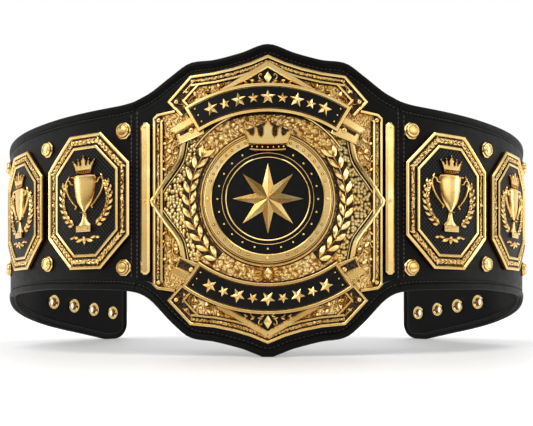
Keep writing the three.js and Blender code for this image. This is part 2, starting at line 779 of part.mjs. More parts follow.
function sidePlate({ along, scale }) {
  const ring = (near, far) =>
    slab(
      shifted(octagon(scale, near * scale), along, SIDE_CENTRE),
      SIDE_FLOOR - BITE,
      SIDE_RAIL_FRONT,
      [shifted(octagon(scale, far * scale), along, SIDE_CENTRE)],
    );
  return joined([
    slab(shifted(octagon(scale, 0), along, SIDE_CENTRE), GAP, SIDE_FLOOR),
    ring(0, OCTAGON_RIM),
    ring(OCTAGON_FRAME - OCTAGON_RAIL, OCTAGON_FRAME),
  ]);
}

function sideEnamel({ along, scale }) {
  const outline = shifted(octagon(scale, OCTAGON_FRAME * scale + GAP), along, SIDE_CENTRE);
  return slab(outline, SIDE_FLOOR + GAP, SIDE_FLOOR + GAP + ENAMEL);
}

// Half of the wreath round the cup: a curved band whose edges are cut into leaves.
function wreathOutline() {
  const { radius, centre, from, to, leaves, tip, notch, lean } = WREATH;
  const turn = (share) => from + (to - from) * share;
  const side = (sign) =>
    steps(leaves).flatMap((i) => [
      polar(0, centre, radius + sign * notch, turn(i / leaves)),
      polar(0, centre, radius + sign * tip, turn((i + lean) / leaves)),
    ]);
  return [...side(1), polar(0, centre, radius, turn(1 + 0.2 / leaves)), ...side(-1).reverse()];
}

function trophy({ along, scale }) {
  const cup = points(CUP);
  const half = points(CUP_CROWN);
  const stem = [polar(0, WREATH.centre, WREATH.radius, WREATH.from + 1), points([WREATH_STEM])[0]];
  const right = [
    band(points(CUP_HANDLE), -HANDLE_WIDTH / 2, HANDLE_WIDTH / 2),
    wreathOutline(),
    band(stem, -WREATH_STEM.width / 2, WREATH_STEM.width / 2),
  ];
  const outlines = [
    [...cup, ...mirrored(cup)],
    [...half, ...mirrored(half.slice(1))],
    ...right,
    ...right.map(mirrored),
  ];
  return joined(
    outlines.map((outline) => slab(shifted(outline, along, SIDE_CENTRE, scale), TROPHY_BACK, TROPHY_FRONT)),
  );
}

// Assembly

const belt = new THREE.Group();

function add(name, flat, material) {
  const mesh = new THREE.Mesh(wrapped(flat), MATERIALS[material]);
  mesh.name = name;
  belt.add(mesh);
}

// The same piece on both halves of the belt.
function addPair(name, flat, material) {
  add(`right_${name}`, flat, material);
  add(`left_${name}`, flat.mirror([1, 0, 0]), material);
}

add('centre_panel', centrePanel(), 'leather');
add('centre_lining', centreLining(), 'lining');
addPair('strap', strapPanel(), 'leather');
addPair('strap_lining', strapLining(), 'lining');
eyeletPlaces().forEach((place, i) => addPair(`eyelet_${i + 1}`, eyelet(place), 'gold'));

add('main_plate', mainPlate(), 'gold');
add('centre_disc', centreDisc(), 'enamel');
add('centre_bezel', bezel(), 'gold');
add('centre_star', centreStar(), 'gold');
add('crown', crown(), 'gold');
addPair('laurel', laurel(), 'gold');
for (const row of BANNERS) {
  add(`${row.name}_banner`, banner(row), 'gold');
  add(`${row.name}_banner_enamel`, bannerEnamel(row), 'enamel');
  add(`${row.name}_gable_enamel`, gableEnamel(row, row.sign > 0 ? GEMS[0] : GEMS[2]), 'enamel');
}
addPair('bar', sideBar(), 'gold');

for (const row of SIDE_PLATES) {
  addPair(`${row.name}_side_plate`, sidePlate(row), 'gold');
  addPair(`${row.name}_side_enamel`, sideEnamel(row), 'enamel');
  addPair(`${row.name}_trophy`, trophy(row), 'gold');
}
for (const { name, along, halfSpacing } of STUD_PAIRS) {
  for (const [level, sign] of [['upper', 1], ['lower', -1]]) {
    const profile = STUD_PROFILE.map((row) => point(row.radius, row.out));
    const height = SIDE_CENTRE + sign * halfSpacing;
    const stud = turned(profile, STUD_SIDES, along, height, Math.PI / STUD_SIDES);
    addPair(`${name}_${level}_stud`, stud, 'gold');
  }
}

// The origin goes to the middle of the belt's depth.
belt.position.y = -new THREE.Box3().setFromObject(belt).getCenter(new THREE.Vector3()).y;

export default belt;
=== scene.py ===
import functools
import math

import bmesh
import bpy
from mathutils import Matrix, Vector
from mathutils.geometry import tessellate_polygon

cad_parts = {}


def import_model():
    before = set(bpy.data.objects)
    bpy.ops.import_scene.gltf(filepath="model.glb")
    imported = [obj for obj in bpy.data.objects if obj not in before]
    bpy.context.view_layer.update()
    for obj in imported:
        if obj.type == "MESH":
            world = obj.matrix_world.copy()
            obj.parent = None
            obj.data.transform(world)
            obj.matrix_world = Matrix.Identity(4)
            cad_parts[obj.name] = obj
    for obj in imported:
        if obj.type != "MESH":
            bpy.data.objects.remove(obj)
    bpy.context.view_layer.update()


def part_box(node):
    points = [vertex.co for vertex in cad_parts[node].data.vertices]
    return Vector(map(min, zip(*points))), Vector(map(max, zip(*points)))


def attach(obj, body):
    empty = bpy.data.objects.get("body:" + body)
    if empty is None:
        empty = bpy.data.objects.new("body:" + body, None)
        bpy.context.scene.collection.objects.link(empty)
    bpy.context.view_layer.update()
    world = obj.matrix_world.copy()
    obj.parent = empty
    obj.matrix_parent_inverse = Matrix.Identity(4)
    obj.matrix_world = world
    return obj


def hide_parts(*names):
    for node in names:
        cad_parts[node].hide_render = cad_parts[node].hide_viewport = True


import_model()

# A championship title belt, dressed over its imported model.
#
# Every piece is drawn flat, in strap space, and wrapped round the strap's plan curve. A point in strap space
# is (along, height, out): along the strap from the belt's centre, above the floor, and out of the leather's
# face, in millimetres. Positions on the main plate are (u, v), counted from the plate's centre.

MM = 0.001

# Camera, from the photograph

CAMERA_DISTANCE = 620  # from the front of the leather, mm
CAMERA_HEIGHT = 46.1
CAMERA_X = -6
SENSOR = 36
FOCAL_SHARE = 640 / 533  # focal length over image width
SHIFT_X = 4.9 / 533
SHIFT_Y = 96.4 / 533

# Strap

PLAN_ARCS = ((120, 474), (130, 331), (120, 270), (110, 117), (168, 1000))  # length and radius of each arc
HALF_LENGTH = 648
SEAM = 135
SEAM_GAP = 0.15
LEATHER = 3
LAYER_GAP = 0.3
LINING_INSET = 0.8
TONGUE_CORNER = 24
TIP_FLAT = 6
STEP = 5  # longest stretch along the strap that stays straight

# The two edges of the strap: distance from the centre, top, bottom.
STRAP_EDGES = (
    (0, 303.5, 0),
    (26, 295.2, 8),
    (52, 289.2, 14.5),
    (77, 287, 18.7),
    (95, 276, 32.5),
    (115.8, 262, 53.5),
    (126.6, 257, 60.5),
    (137.2, 253.3, 63.5),
    (155.8, 251, 65.5),
    (241.6, 248.5, 67.5),
    (260.4, 248, 67.3),
    (360.6, 246, 62.5),
    (379.4, 243, 59.5),
    (404, 234.5, 50),
    (430, 222, 41),
    (456, 205.5, 33.2),
    (487.9, 182.5, 24.2),
    (509.1, 166, 19.3),
    (527, 152.8, 15.5),
    (548.2, 138.8, 11.5),
    (566.1, 128, 7.9),
    (587.3, 117, 3.6),
    (605.2, 108.2, 0),
    (626.4, 98.4, 0),
    (648, 88.6, 0),
)
CORNER_ROW = -3  # the row of STRAP_EDGES where the tongue's round corners begin

# Sections of the leather's border, from its edge inwards: distance from the edge, out.
OUTER_BORDER = (
    (0, -0.3), (-0.6, 0.7), (-1.8, 1.15), (-3.4, 1.25), (-5, 1.05), (-6.3, 0.4),
    (-7.2, -0.8), (-8.6, -1.05), (-9.8, -0.7), (-11, 0.1), (-14, 0.15),
)
LINING_BORDER = (
    (-14, -6.15), (-11, -6.1), (-9.8, -5.6), (-8.6, -5.3), (-7.2, -5.6), (-6.3, -6.4),
    (-4.6, -6.95), (-2.6, -6.9), (-1.3, -6.3), (-0.8, -5.4),
)
BORDER_WIDTH = 14
STITCH_LINE = 8.6
STITCH_PITCH = 4.4
STITCH_LENGTH = 3.3
THREAD_WIDTH = 1.7
EYELETS = tuple((498.5 + 39.1 * i, 56.5 - 5.2 * i) for i in range(4))
PUNCH_RADIUS = 6.6
BORE_SHADE_TONE = 0.1  # painted shade inside an eyelet's bore

# Main plate

PLATE_HEIGHT = 152
FLOOR = 3
RAIL = 5.4
QUARTER = (
    (0, 139), (16.5, 132), (33, 127), (52, 123.2), (75, 121),
    (98, 97), (90.5, 88.8), (108.5, 86), (113, 82),
)
CREST_FOOT = (84, 81.7)
RIM_TO_FIELD = (-2.4, -11.6)  # the border's ground, from its outer to its inner edge
DIAGONAL_RAIL = -12  # from the edge of the crest
SHORT_LINE = -6.2
SCREW_WELL = 3.9
HAMMERED_RADIUS = 99
HAMMERED_STARTS = (37, 217)  # degrees
HAMMERED_SWEEP = 106
# Small beads on the border: u, v, radius.
SMALL_BEADS = ((0, 130.6, 1.1), (44.5, 118.5, 1.7), (71, 115.5, 1.3), (119.5, 1.2, 1.5))
GABLE = {"peak": 134, "fall": 0.59, "reach": 50, "width": 6.2}
PLATE_RIM = ((0, 0.3), (0, RAIL - 0.7), (-0.7, RAIL), (-1.9, RAIL), (-2.6, RAIL - 0.7), (-2.6, 0.3))
# Plain lines inside the rim: width, front, distance from the edge.
CREST_STRIPES = ((0.8, RAIL - 0.5, -5.6), (1.9, RAIL, -9.6))
BODY_STRIPES = ((2.2, RAIL, -9.1),)
SCREWS = ((89, 96.5), (107, 79.5))
KITE = ((116, 1), (102.5, 20), (92, 33.5), (86.5, 43.5), (83, 62))
GEMS = ((117.5, 3.6, 6), (-70.8, 4, 5.2), (-118, 4, 6.5))  # v, half width, half height
CENTRE_V = 0.5
BEZEL = {"inner": 53.6, "step": 60.5, "outer": 61, "rim": 65.2, "front": 7.2}
RIVET_GROUPS = ((112, 7.2, 8), (206, 9, 6))  # first one's place and pitch in degrees, count
DISC_FRONT = 4.6
LAUREL = {"radius": 75.5, "start": -50, "sweep": 82, "pairs": 10, "length": 15, "width": 4.9}

# Curved banners: sign, centre, outer radius, inner radius, half angle.
BANNERS = {"upper": (1, -47, 158, 130.5, 30.3), "lower": (-1, -31.6, 142, 112.5, 35.6)}
TAIL_STRIP = [(70, 83), (97, 69.2), (89.1, 64.8), (66, 76.5)]
TAIL_END = [(89.1, 64.8), (85.8, 54.1), (60.4, 63.9), (64, 76)]
TAIL_CURL = (73.5, 67.5)
TAIL_HOLLOWS = {
    "upper": [(86, 65.6), (66, 75.2), (65, 71.5), (84, 62.4)],
    "lower": [(87.6, 64.6), (66, 75), (64.6, 67.4), (84.2, 56.6)],
}
BANNER_BACK = 5.7
BANNER_FRONT = 7.2
BANNER_RIM_FRONT = 8.7
BANNER_STARS = 9

CROWN = (
    (0, 77), (2.6, 71.5), (5, 68.5), (4.2, 65.5), (4.6, 61.5), (6.4, 58.8),
    (8.2, 60.5), (9, 64.5), (9, 66.5), (12, 70.8), (13, 66.5), (12.9, 63),
    (14.2, 60.2), (16, 60.8), (17.2, 63.5), (24.2, 68.5), (19.6, 58), (17.8, 51.5),
)
CROWN_FOOT = 45.5  # v of the band's foot in CROWN
CROWN_GEMS = ((0, 3.5), (5.2, 3.6), (10.2, 3.8), (14.8, 4.1))  # on the band
CROWN_PEARLS = ((0, 32), (12, 26), (24.2, 23.6))  # on the points
CROWN_BACK = [(17.6, 52), (21.8, 65.8), (12, 69.2), (0, 74.5)]
SIDE_PLATES = {"inner": (191.7, 1), "outer": (307.5, 0.95)}  # place along the strap, scale
SIDE_CENTRE = 156.5
OCTAGON = {"half_width": 53.2, "half_height": 69.2, "cut": 33}
SIDE_FLOOR = 3.2
SIDE_RAIL = 5.6
SIDE_PLANK = 4.7
SIDE_MIDDLE = 7.8  # the planks' middle line, from the octagon's edge
SIDE_FIELD = 4.2
STUD_PAIRS = {"inner": (146.5, 68.5), "middle": (251, 61.5), "outer": (370, 61.5)}
BAR = {"along": 121.2, "half_width": 4.7, "low": 80.5, "high": 230.5, "front": 5.6, "chamfer": 2}


# Wrapping round the plan curve

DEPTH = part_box("centre_panel")[0].y / MM + 1.2


@functools.lru_cache(maxsize=None)
def plan_at(along):
    x = y = angle = 0.0
    left = abs(along)
    for i, (length, radius) in enumerate(PLAN_ARCS):
        run = left if i == len(PLAN_ARCS) - 1 else min(left, length)
        end = angle + run / radius
        x += radius * (math.sin(end) - math.sin(angle))
        y += radius * (math.cos(angle) - math.cos(end))
        angle = end
        left -= run
        if left <= 0:
            break
    side = -1 if along < 0 else 1
    return side * x, y, side * math.sin(angle), -math.cos(angle)


def world(along, height, out):
    x, y, out_x, out_y = plan_at(round(along, 3))
    return ((x + out * out_x) * MM, (y + out * out_y + DEPTH) * MM, height * MM)


# Flat paths

def polar(u, v, radius, degrees):
    angle = math.radians(degrees)
    return (u + radius * math.cos(angle), v + radius * math.sin(angle))


def arc(u, v, radius, start, end, count):
    return [polar(u, v, radius, start + (end - start) * i / count) for i in range(count + 1)]


def circle(u, v, radius, sides):
    return arc(u, v, radius, 0, 360, sides)[:-1]


def mirror(path):
    return [(-u, v) for u, v in reversed(path)]


def flip(path):
    return [(u, -v) for u, v in reversed(path)]


def moved(path, u, v, scale=1.0):
    return [(u + x * scale, v + y * scale) for x, y in path]


def placed(u, v, centre, scale):
    return (centre[0] + u * scale, centre[1] + v * scale)


def mitre(path, i, closed):
    """The step across a path at its point i, for an offset of one to the left."""
    stretches = []
    if i or closed:
        stretches.append((path[i - 1], path[i]))
    if i + 1 < len(path) or closed:
        stretches.append((path[i], path[(i + 1) % len(path)]))
    ways = []
    for start, end in stretches:
        length = math.dist(start, end) or 1.0
        ways.append((-(end[1] - start[1]) / length, (end[0] - start[0]) / length))
    x = sum(way[0] for way in ways) / len(ways)
    y = sum(way[1] for way in ways) / len(ways)
    size = max(x * x + y * y, 0.2)
    return x / size, y / size


def beside(path, offset, closed=False):
    result = []
    for i, point in enumerate(path):
        x, y = mitre(path, i, closed)
        result.append((point[0] + x * offset, point[1] + y * offset))
    return result


def band(path, near, far):
    return beside(path, near) + list(reversed(beside(path, far)))


def dense(path, closed=False, step=STEP):
    """The path with points added, so that no stretch runs further than step."""
    ends = list(path) + ([path[0]] if closed else [])
    result = []
    for start, end in zip(ends, ends[1:]):
        count = max(1, math.ceil(math.dist(start, end) / step))
        for i in range(count):
            share = i / count
            result.append((start[0] + (end[0] - start[0]) * share, start[1] + (end[1] - start[1]) * share))
    return result if closed else result + [ends[-1]]


def curve_value(p, q, r, s, t):
    """One coordinate of a curve from q to r, where p comes before them and s after."""
    square = 2 * p - 5 * q + 4 * r - s
    cube = 3 * q - p - 3 * r + s
    return 0.5 * (2 * q + (r - p) * t + square * t * t + cube * t ** 3)


def smooth(points, count=5):
    """A curve through all the points, with count stretches between each two."""
    ends = [points[0]] + list(points) + [points[-1]]
    result = []
    for four in zip(ends, ends[1:], ends[2:], ends[3:]):
        for i in range(count):
            result.append(tuple(curve_value(*parts, i / count) for parts in zip(*four)))
    return result + [tuple(points[-1])]


def walk(path, pitch, start=0.0):
    """Places along a path at an even pitch, each as a point and a heading in degrees."""
    travelled = 0.0
    due = start
    for a, b in zip(path, path[1:]):
        length = math.dist(a, b)
        heading = math.degrees(math.atan2(b[1] - a[1], b[0] - a[0]))
        while length and due <= travelled + length:
            share = (due - travelled) / length
            yield (a[0] + (b[0] - a[0]) * share, a[1] + (b[1] - a[1]) * share), heading
            due += pitch
        travelled += length


def path_length(path):
    return sum(math.dist(a, b) for a, b in zip(path, path[1:]))


def middle_of(start, end):
    return ((start[0] + end[0]) / 2, (start[1] + end[1]) / 2)


# Relief: faces collected in strap space

class Relief:
    """Points are (along, height, out, tone). Tone runs from 0 in a groove to 1 on a top: the gold darkens
    with it, which paints shade low on the relief along with the antique black in its grooves.
    """

    def __init__(self):
        self.points = []
        self.faces = []

    def add(self, points, faces):
        first = len(self.points)
        self.points.extend(points)
        self.faces.extend(tuple(first + i for i in face) for face in faces)

    def add_relief(self, other):
        self.add(other.points, other.faces)

    def add_mirrored(self):
        """Adds the other half of the belt."""
        self.add_relief(self.mirrored())

    def mirrored(self):
        other = Relief()
        other.points = [(-a, h, o, t) for a, h, o, t in self.points]
        other.faces = [tuple(reversed(face)) for face in self.faces]
        return other


def ring_faces(rings, sides, closed=False):
    """Faces between rings of points that each have the same number of sides."""
    faces = []
    for ring in range(rings if closed else rings - 1):
        above = (ring + 1) % rings
        for j in range(sides):
            k = (j + 1) % sides
            faces.append((ring * sides + j, ring * sides + k, above * sides + k, above * sides + j))
    return faces


def sweep(relief, path, profile, closed=False, scales=None, floor_tone=0.0):
    """Draws a closed section of (across, out) along a path. Positive across is to the path's left."""
    count = len(path)
    size = len(profile)
    low = min(out for _, out in profile)
    high = max(out for _, out in profile)
    points = []
    for i, (x, y) in enumerate(path):
        side_x, side_y = mitre(path, i, closed)
        scale = scales[i] if scales else 1.0
        for across, out in profile:
            # Painted shade: the tone rises from floor_tone at the section's foot to 1 at its top.
            tone = floor_tone + (1 - floor_tone) * (out - low) / (high - low)
            rise = low + (out - low) * min(1.0, 0.35 + scale * 0.65)
            points.append((x + side_x * across * scale, y + side_y * across * scale, rise, tone))
    faces = ring_faces(count, size, closed)
    if not closed:
        faces.append(tuple(range(size - 1, -1, -1)))
        faces.append(tuple((count - 1) * size + j for j in range(size)))
    relief.add(points, faces)


def fill(relief, outline, out, holes=(), tone=1.0, step=STEP, facing=1):
    """A flat field inside an outline, cut often enough to follow the curve."""
    loops = [list(outline)] + [list(hole) for hole in holes]
    corners = [point for loop in loops for point in loop]
    triangles = tessellate_polygon([[Vector((u, v, 0)) for u, v in loop] for loop in loops])
    mesh = bmesh.new()
    verts = [mesh.verts.new((u, v, 0)) for u, v in corners]
    for triangle in triangles:
        if len(set(triangle)) == 3:
            mesh.faces.new([verts[i] for i in triangle])
    low = math.ceil(min(u for u, _ in corners) / step)
    high = math.floor(max(u for u, _ in corners) / step)
    for line in range(low, high + 1):
        geometry = mesh.verts[:] + mesh.edges[:] + mesh.faces[:]
        bmesh.ops.bisect_plane(mesh, geom=geometry, plane_co=(line * step, 0, 0), plane_no=(1, 0, 0))
    mesh.verts.index_update()
    faces = []
    for face in mesh.faces:
        face.normal_update()
        ring = [vert.index for vert in face.verts]
        faces.append(tuple(ring if face.normal.z * facing > 0 else reversed(ring)))
    relief.add([(vert.co.x, vert.co.y, out, tone) for vert in mesh.verts], faces)
    mesh.free()


def flat_field(outline, out, holes=()):
    relief = Relief()
    fill(relief, outline, out, holes)
    return relief


def slab(relief, outline, low, high, bevel, tone=1.0):
    """A raised shape with a bevelled edge, from a counter-clockwise outline."""
    top = beside(outline, bevel, closed=True)
    # Painted shade: the foot is dark and the bevel a little darker than the top.
    points = [(u, v, low, 0.0) for u, v in outline]
    points += [(u, v, high - bevel * 0.8, tone * 0.7) for u, v in outline]
    points += [(u, v, high, tone) for u, v in top]
    relief.add(points, ring_faces(3, len(outline)))
    fill(relief, top, high, tone=tone)


def turn(relief, centre, profile, sides, closed=False, start=0.0):
    """A turned shape: a section of (radius, out), from its outer foot up and inwards."""
    low = min(out for _, out in profile)
    high = max(out for _, out in profile)
    points = []
    # Painted shade: the tone rises from 0.3 at the foot to 1 at the top.
    for radius, out in profile:
        for u, v in (polar(*centre, radius, start + 360 * i / sides) for i in range(sides)):
            points.append((u, v, out, 0.3 + 0.7 * (out - low) / (high - low)))
    faces = ring_faces(len(profile), sides, closed)
    if not closed:
        faces.append(tuple((len(profile) - 1) * sides + j for j in range(sides)))
    relief.add(points, faces)


def bead(relief, centre, radius, low, high, sides=12):
    rise = high - low
    section = [(radius, low), (radius * 0.97, low + rise * 0.35), (radius * 0.78, low + rise * 0.7),
               (radius * 0.45, low + rise * 0.94), (radius * 0.12, high)]
    turn(relief, centre, section, sides)


# Sections

def flat_rail(width, low, high, bevel=0.7, across=0.0):
    half = width / 2
    section = [(-half, low), (half, low), (half, high - bevel), (half - bevel, high), (-half + bevel, high),
               (-half, high - bevel)]
    return [(side + across, out) for side, out in section]


def ridge(width, low, edge, high, across=0.0):
    half = width / 2
    section = [(-half, low), (half, low), (half, edge), (0, high), (-half, edge)]
    return [(side + across, out) for side, out in section]


def half_round(width, low, high, count=6):
    section = []
    for i in range(count + 1):
        angle = math.pi * i / count
        section.append((width / 2 * math.cos(angle), low + (high - low) * math.sin(angle)))
    return section


# Ornament

LEAF_SCALES = (0.15, 0.55, 0.85, 1.0, 0.95, 0.75, 0.45, 0.06)


def leaf(relief, root, heading, length, width, low, high, bend=0.0):
    """A pointed leaf with a raised midrib."""
    path = [root]
    count = len(LEAF_SCALES)
    for i in range(1, count):
        way = heading + bend * (i / count - 0.5)
        path.append(polar(*path[-1], length / (count - 1), way))
    sweep(relief, path, ridge(width, low, low + (high - low) * 0.45, high), scales=LEAF_SCALES)


def scroll(relief, root, heading, size, hand, low, high, width=1.5, steps=12):
    """A curl that tightens to a small bud. Hand is 1 to the left and -1 to the right."""
    path = [root]
    scales = [0.75]
    way = heading
    for i in range(1, steps + 1):
        share = i / steps
        way += hand * (10 + 52 * share)
        path.append(polar(*path[-1], size * 0.30 * (1.15 - share), way))
        scales.append(1.0 - 0.55 * share)
    scales[-1] = 0.9
    sweep(relief, path, half_round(width, low, high, 4), scales=scales)


def gem(relief, u, v, half_width, half_height, low, high):
    outline = ((half_width, 0), (0, half_height), (-half_width, 0), (0, -half_height))
    edge = moved(outline, u, v)
    points = [(x, y, low, 0.0) for x, y in edge]
    points += [(x, y, low + 0.9, 0.8) for x, y in edge]
    points.append((u, v, high, 1.0))
    faces = []
    for j in range(4):
        k = (j + 1) % 4
        faces.append((j, k, 4 + k, 4 + j))
        faces.append((4 + j, 4 + k, 8))
    relief.add(points, faces)


def star(relief, centre, count, outer, inner, low, edge, peak, start=90.0):
    """A faceted star. Every other facet carries painted shade, so that the facets show."""
    sides = 2 * count
    corners = [polar(*centre, inner if i % 2 else outer, start + 180 * i / count) for i in range(sides)]
    for j, here in enumerate(corners):
        ahead = corners[(j + 1) % sides]
        # Painted shade on every other facet and at the star's foot.
        tone = 0.48 if j % 2 else 1.0
        points = [(*here, low, 0.1), (*ahead, low, 0.1), (*ahead, edge, tone), (*here, edge, tone)]
        points.append((*centre, peak, tone))
        relief.add(points, [(0, 1, 2, 3), (3, 2, 4)])


def crown(relief, scale, centre, low, high):
    """A five-pointed crown on a band. Centre is the middle of the band's foot."""
    half = [(u, v - CROWN_FOOT) for u, v in CROWN]
    body = moved(half[::-1] + [(-u, v) for u, v in half[1:]], *centre, scale)
    slab(relief, body, low, high - 0.8 * scale, 0.4 * scale, tone=0.75)
    sweep(relief, beside(body, 0.5 * scale, closed=True), half_round(1.0 * scale, low, high, 4), closed=True)
    for height, width, top in ((0.9, 2.4, high + 0.2), (6.2, 1.4, high)):
        reach = 16.6 + 0.16 * height
        shares = [i / 6 - 1 for i in range(13)]
        line = moved([(reach * share, height + 0.9 * share ** 2) for share in shares], *centre, scale)
        sweep(relief, line, half_round(width * scale, low, top, 4))
    ground = moved([(17, 6.4), (-17, 6.4), (-16.6, 1), (16.6, 1)], *centre, scale)
    fill(relief, ground, low + 0.6, tone=0.0)
    for places, radius, top in ((CROWN_GEMS, 1.2, high - 0.1), (CROWN_PEARLS, 1.25, high)):
        for u, v in places:
            for side in (1, -1) if u else (1,):
                bead(relief, placed(side * u, v, centre, scale), radius * scale, low, top, 8)


# Outlines of the leather

def edge_height(along, column):
    at = abs(along)
    if column == 2 and at <= TIP_FLAT:
        return 0.0
    last = len(STRAP_EDGES) - 1
    i = next((k for k in range(last) if STRAP_EDGES[k + 1][0] >= at), last - 1)

    def slope(k):
        if k in (0, last):
            return 0.0
        low, high = STRAP_EDGES[k - 1], STRAP_EDGES[k + 1]
        return (high[column] - low[column]) / (high[0] - low[0])

    low, high = STRAP_EDGES[i], STRAP_EDGES[i + 1]
    if low[column] == high[column]:
        return low[column]
    run = high[0] - low[0]
    t = min(1.0, (at - low[0]) / run)
    return (
        low[column] * (1 + 2 * t) * (1 - t) ** 2
        + slope(i) * run * t * (1 - t) ** 2
        + high[column] * (3 - 2 * t) * t ** 2
        + slope(i + 1) * run * (t - 1) * t ** 2
    )


def edge_line(start, end, column, inset=0.0):
    count = max(1, math.ceil(abs(end - start) / STEP))
    line = []
    for i in range(count + 1):
        along = start + (end - start) * i / count
        slope = (edge_height(along + 1, column) - edge_height(along - 1, column)) / 2
        drop = inset * math.hypot(1, slope)
        line.append((along, edge_height(along, column) + (drop if column == 2 else -drop)))
    return line


def strap_edge(inset=0.0, start=SEAM + SEAM_GAP):
    """The right strap's free edge, from the top of the seam round the tongue to the seam's foot."""
    radius = TONGUE_CORNER - inset
    along = HALF_LENGTH - TONGUE_CORNER
    last = STRAP_EDGES[-1]
    before = STRAP_EDGES[CORNER_ROW]
    fall = math.atan((before[1] - last[1]) / (last[0] - before[0]))
    corner = edge_height(along, 1) - TONGUE_CORNER / math.cos(fall)
    return (
        edge_line(start, before[0], 1, inset)
        + arc(along, corner, radius, 90 - math.degrees(fall), 0, 8)
        + arc(along, TONGUE_CORNER, radius, 0, -90, 10)
        + edge_line(before[0], start, 2, inset)
    )


def without_rail_ends(path, run):
    """The path shortened by run at both ends."""
    total = path_length(path)
    return [point for point, _ in walk(path, (total - 2 * run) / max(2, round(total / STEP)), run)]


# Leather

def border_section(edge, back):
    """The closed section of a layer's border: its shaped face, and the flat face behind it."""
    inner = edge[-1][0]
    return [(inner, back), (edge[0][0], back)] + list(edge)


def stitches(relief, path, offset, low, high):
    line = beside(path, -offset)
    shapes = (0.35, 0.85, 1.0, 0.85, 0.35)
    for point, heading in walk(line, STITCH_PITCH, STITCH_PITCH):
        ends = [polar(*point, STITCH_LENGTH * (i / 4 - 0.5), heading) for i in range(5)]
        sweep(relief, ends, half_round(THREAD_WIDTH, low, high, 4), scales=shapes)


def outer_layer(paths, field, holes=()):
    leather = Relief()
    thread = Relief()
    for path in paths:
        sweep(leather, path, border_section(OUTER_BORDER, -LEATHER))
        stitches(thread, path, STITCH_LINE, -1, 0.3)
    fill(leather, field, OUTER_BORDER[-1][1], holes)
    return leather, thread


def lining_layer(paths, field, holes=()):
    leather = Relief()
    thread = Relief()
    for path in paths:
        section = [(side, out) for side, out in LINING_BORDER]
        section += [(section[-1][0], -LEATHER - LAYER_GAP), (section[0][0], -LEATHER - LAYER_GAP)]
        sweep(leather, path, section)
        back = list(reversed(path))
        stitches(thread, back, -STITCH_LINE, -5.2, -6.0)
    fill(leather, field, LINING_BORDER[0][1], holes, facing=-1)
    return leather, thread


def seam_stitches(relief):
    """A fine row of stitches beside each seam between the centre panel and a strap."""
    for along in (SEAM - 3.2, SEAM + 3.2):
        line = [(along, edge_height(along, 2) + 12), (along, edge_height(along, 1) - 12)]
        stitches(relief, line, 0, 0.05, 0.55)


# Main plate

def on_plate(path):
    return moved(path, 0, PLATE_HEIGHT)


def crest_line():
    half = list(QUARTER[:6]) + [CREST_FOOT]
    return mirror(half[1:]) + half


def body_line():
    quarter = list(QUARTER[6:])
    return quarter + flip(quarter)


def kite_line():
    half = smooth(list(reversed(KITE)), 5)
    return half + flip(half)[1:]


def gable_line():
    reach = GABLE["reach"]
    low = GABLE["peak"] - GABLE["fall"] * reach
    return [(-reach, low), (0, GABLE["peak"]), (reach, low)]


def both_ways(path):
    """A path over the upper half of the plate, and its copy over the lower half."""
    return [on_plate(path), on_plate(flip(path))]


def both_sides(path):
    return [on_plate(path), on_plate(mirror(path))]


def plate_outline():
    quarter = list(QUARTER)
    half = quarter + flip(quarter)
    return on_plate(half + mirror(half[1:-1]))


def plate_rails():
    """The plain rims and rails of the main plate."""
    relief = Relief()
    low = FLOOR - 0.2
    for path in both_ways(crest_line()):
        sweep(relief, dense(path), PLATE_RIM)
        for width, high, across in CREST_STRIPES:
            sweep(relief, dense(beside(path[2:-2], across)), flat_rail(width, low, high, 0.3))
        for part in (path[:3], path[-3:]):
            sweep(relief, dense(beside(part, DIAGONAL_RAIL)), flat_rail(1.9, low, RAIL, 0.3))
        halves = ([middle_of(path[1], path[2]), path[2]], [path[-3], middle_of(path[-3], path[-2])])
        for half in halves:
            sweep(relief, dense(half), flat_rail(1.0, low, RAIL - 0.8, 0.3, SHORT_LINE))
    for path in both_sides(body_line()):
        sweep(relief, dense(path), PLATE_RIM)
        for width, high, across in BODY_STRIPES:
            sweep(relief, dense(beside(path[1:-1], across)), flat_rail(width, low, high, 0.3))
    for path in both_ways(gable_line()):
        sweep(relief, dense(path), flat_rail(GABLE["width"], low, RAIL, 1.1, -GABLE["width"] / 2))
    return relief


def plate_planks():
    """The engraved strips inside the plate's border."""
    relief = Relief()
    for path in both_ways(crest_line()):
        sweep(relief, dense(path[2:-2]), flat_rail(3.2, FLOOR - 0.2, RAIL - 0.9, 0.4, -5.6))
    for path in both_sides(body_line()):
        sweep(relief, dense(path[1:-1]), flat_rail(2.8, FLOOR - 0.2, RAIL - 1, 0.4, -5.4))
    return relief


def kite_frames():
    relief = Relief()
    for path in both_sides(kite_line()):
        line = dense(path, step=3)
        sweep(relief, line, ridge(4.4, FLOOR - 0.2, RAIL - 0.6, RAIL + 0.4, -2.2))
        sweep(relief, line, flat_rail(0.9, FLOOR - 0.2, FLOOR + 0.9, 0.3, -6.2))
    return relief


def ogee_line():
    """The thin arch over the crown, from one laurel's top to the other."""
    radius = 87
    side = [polar(0, CENTRE_V, radius, 36 + i * 4) for i in range(11)]
    half = side + [(9, 85.3), (4.5, 85.6), (0, 89)]
    return half + mirror(half[:-1])


def plate_ornament():
    """Foliage in the bands and corners."""
    relief = Relief()
    low = FLOOR
    high = RAIL - 0.4
    for sign in (1, -1):
        for u, v, heading, size, hand in CORNER_FOLIAGE:
            place = (u, PLATE_HEIGHT + sign * v)
            scroll(relief, place, sign * heading, size, sign * hand, low, high, size * 0.2)
            behind = sign * (heading - hand * 40)
            leaf(relief, place, behind, size * 1.05, size * 0.34, low, high, -sign * hand * 35)
            beyond = sign * (heading + hand * 95)
            leaf(relief, place, beyond, size * 0.8, size * 0.3, low, high - 0.3, sign * hand * 35)
    relief.add_mirrored()
    return relief


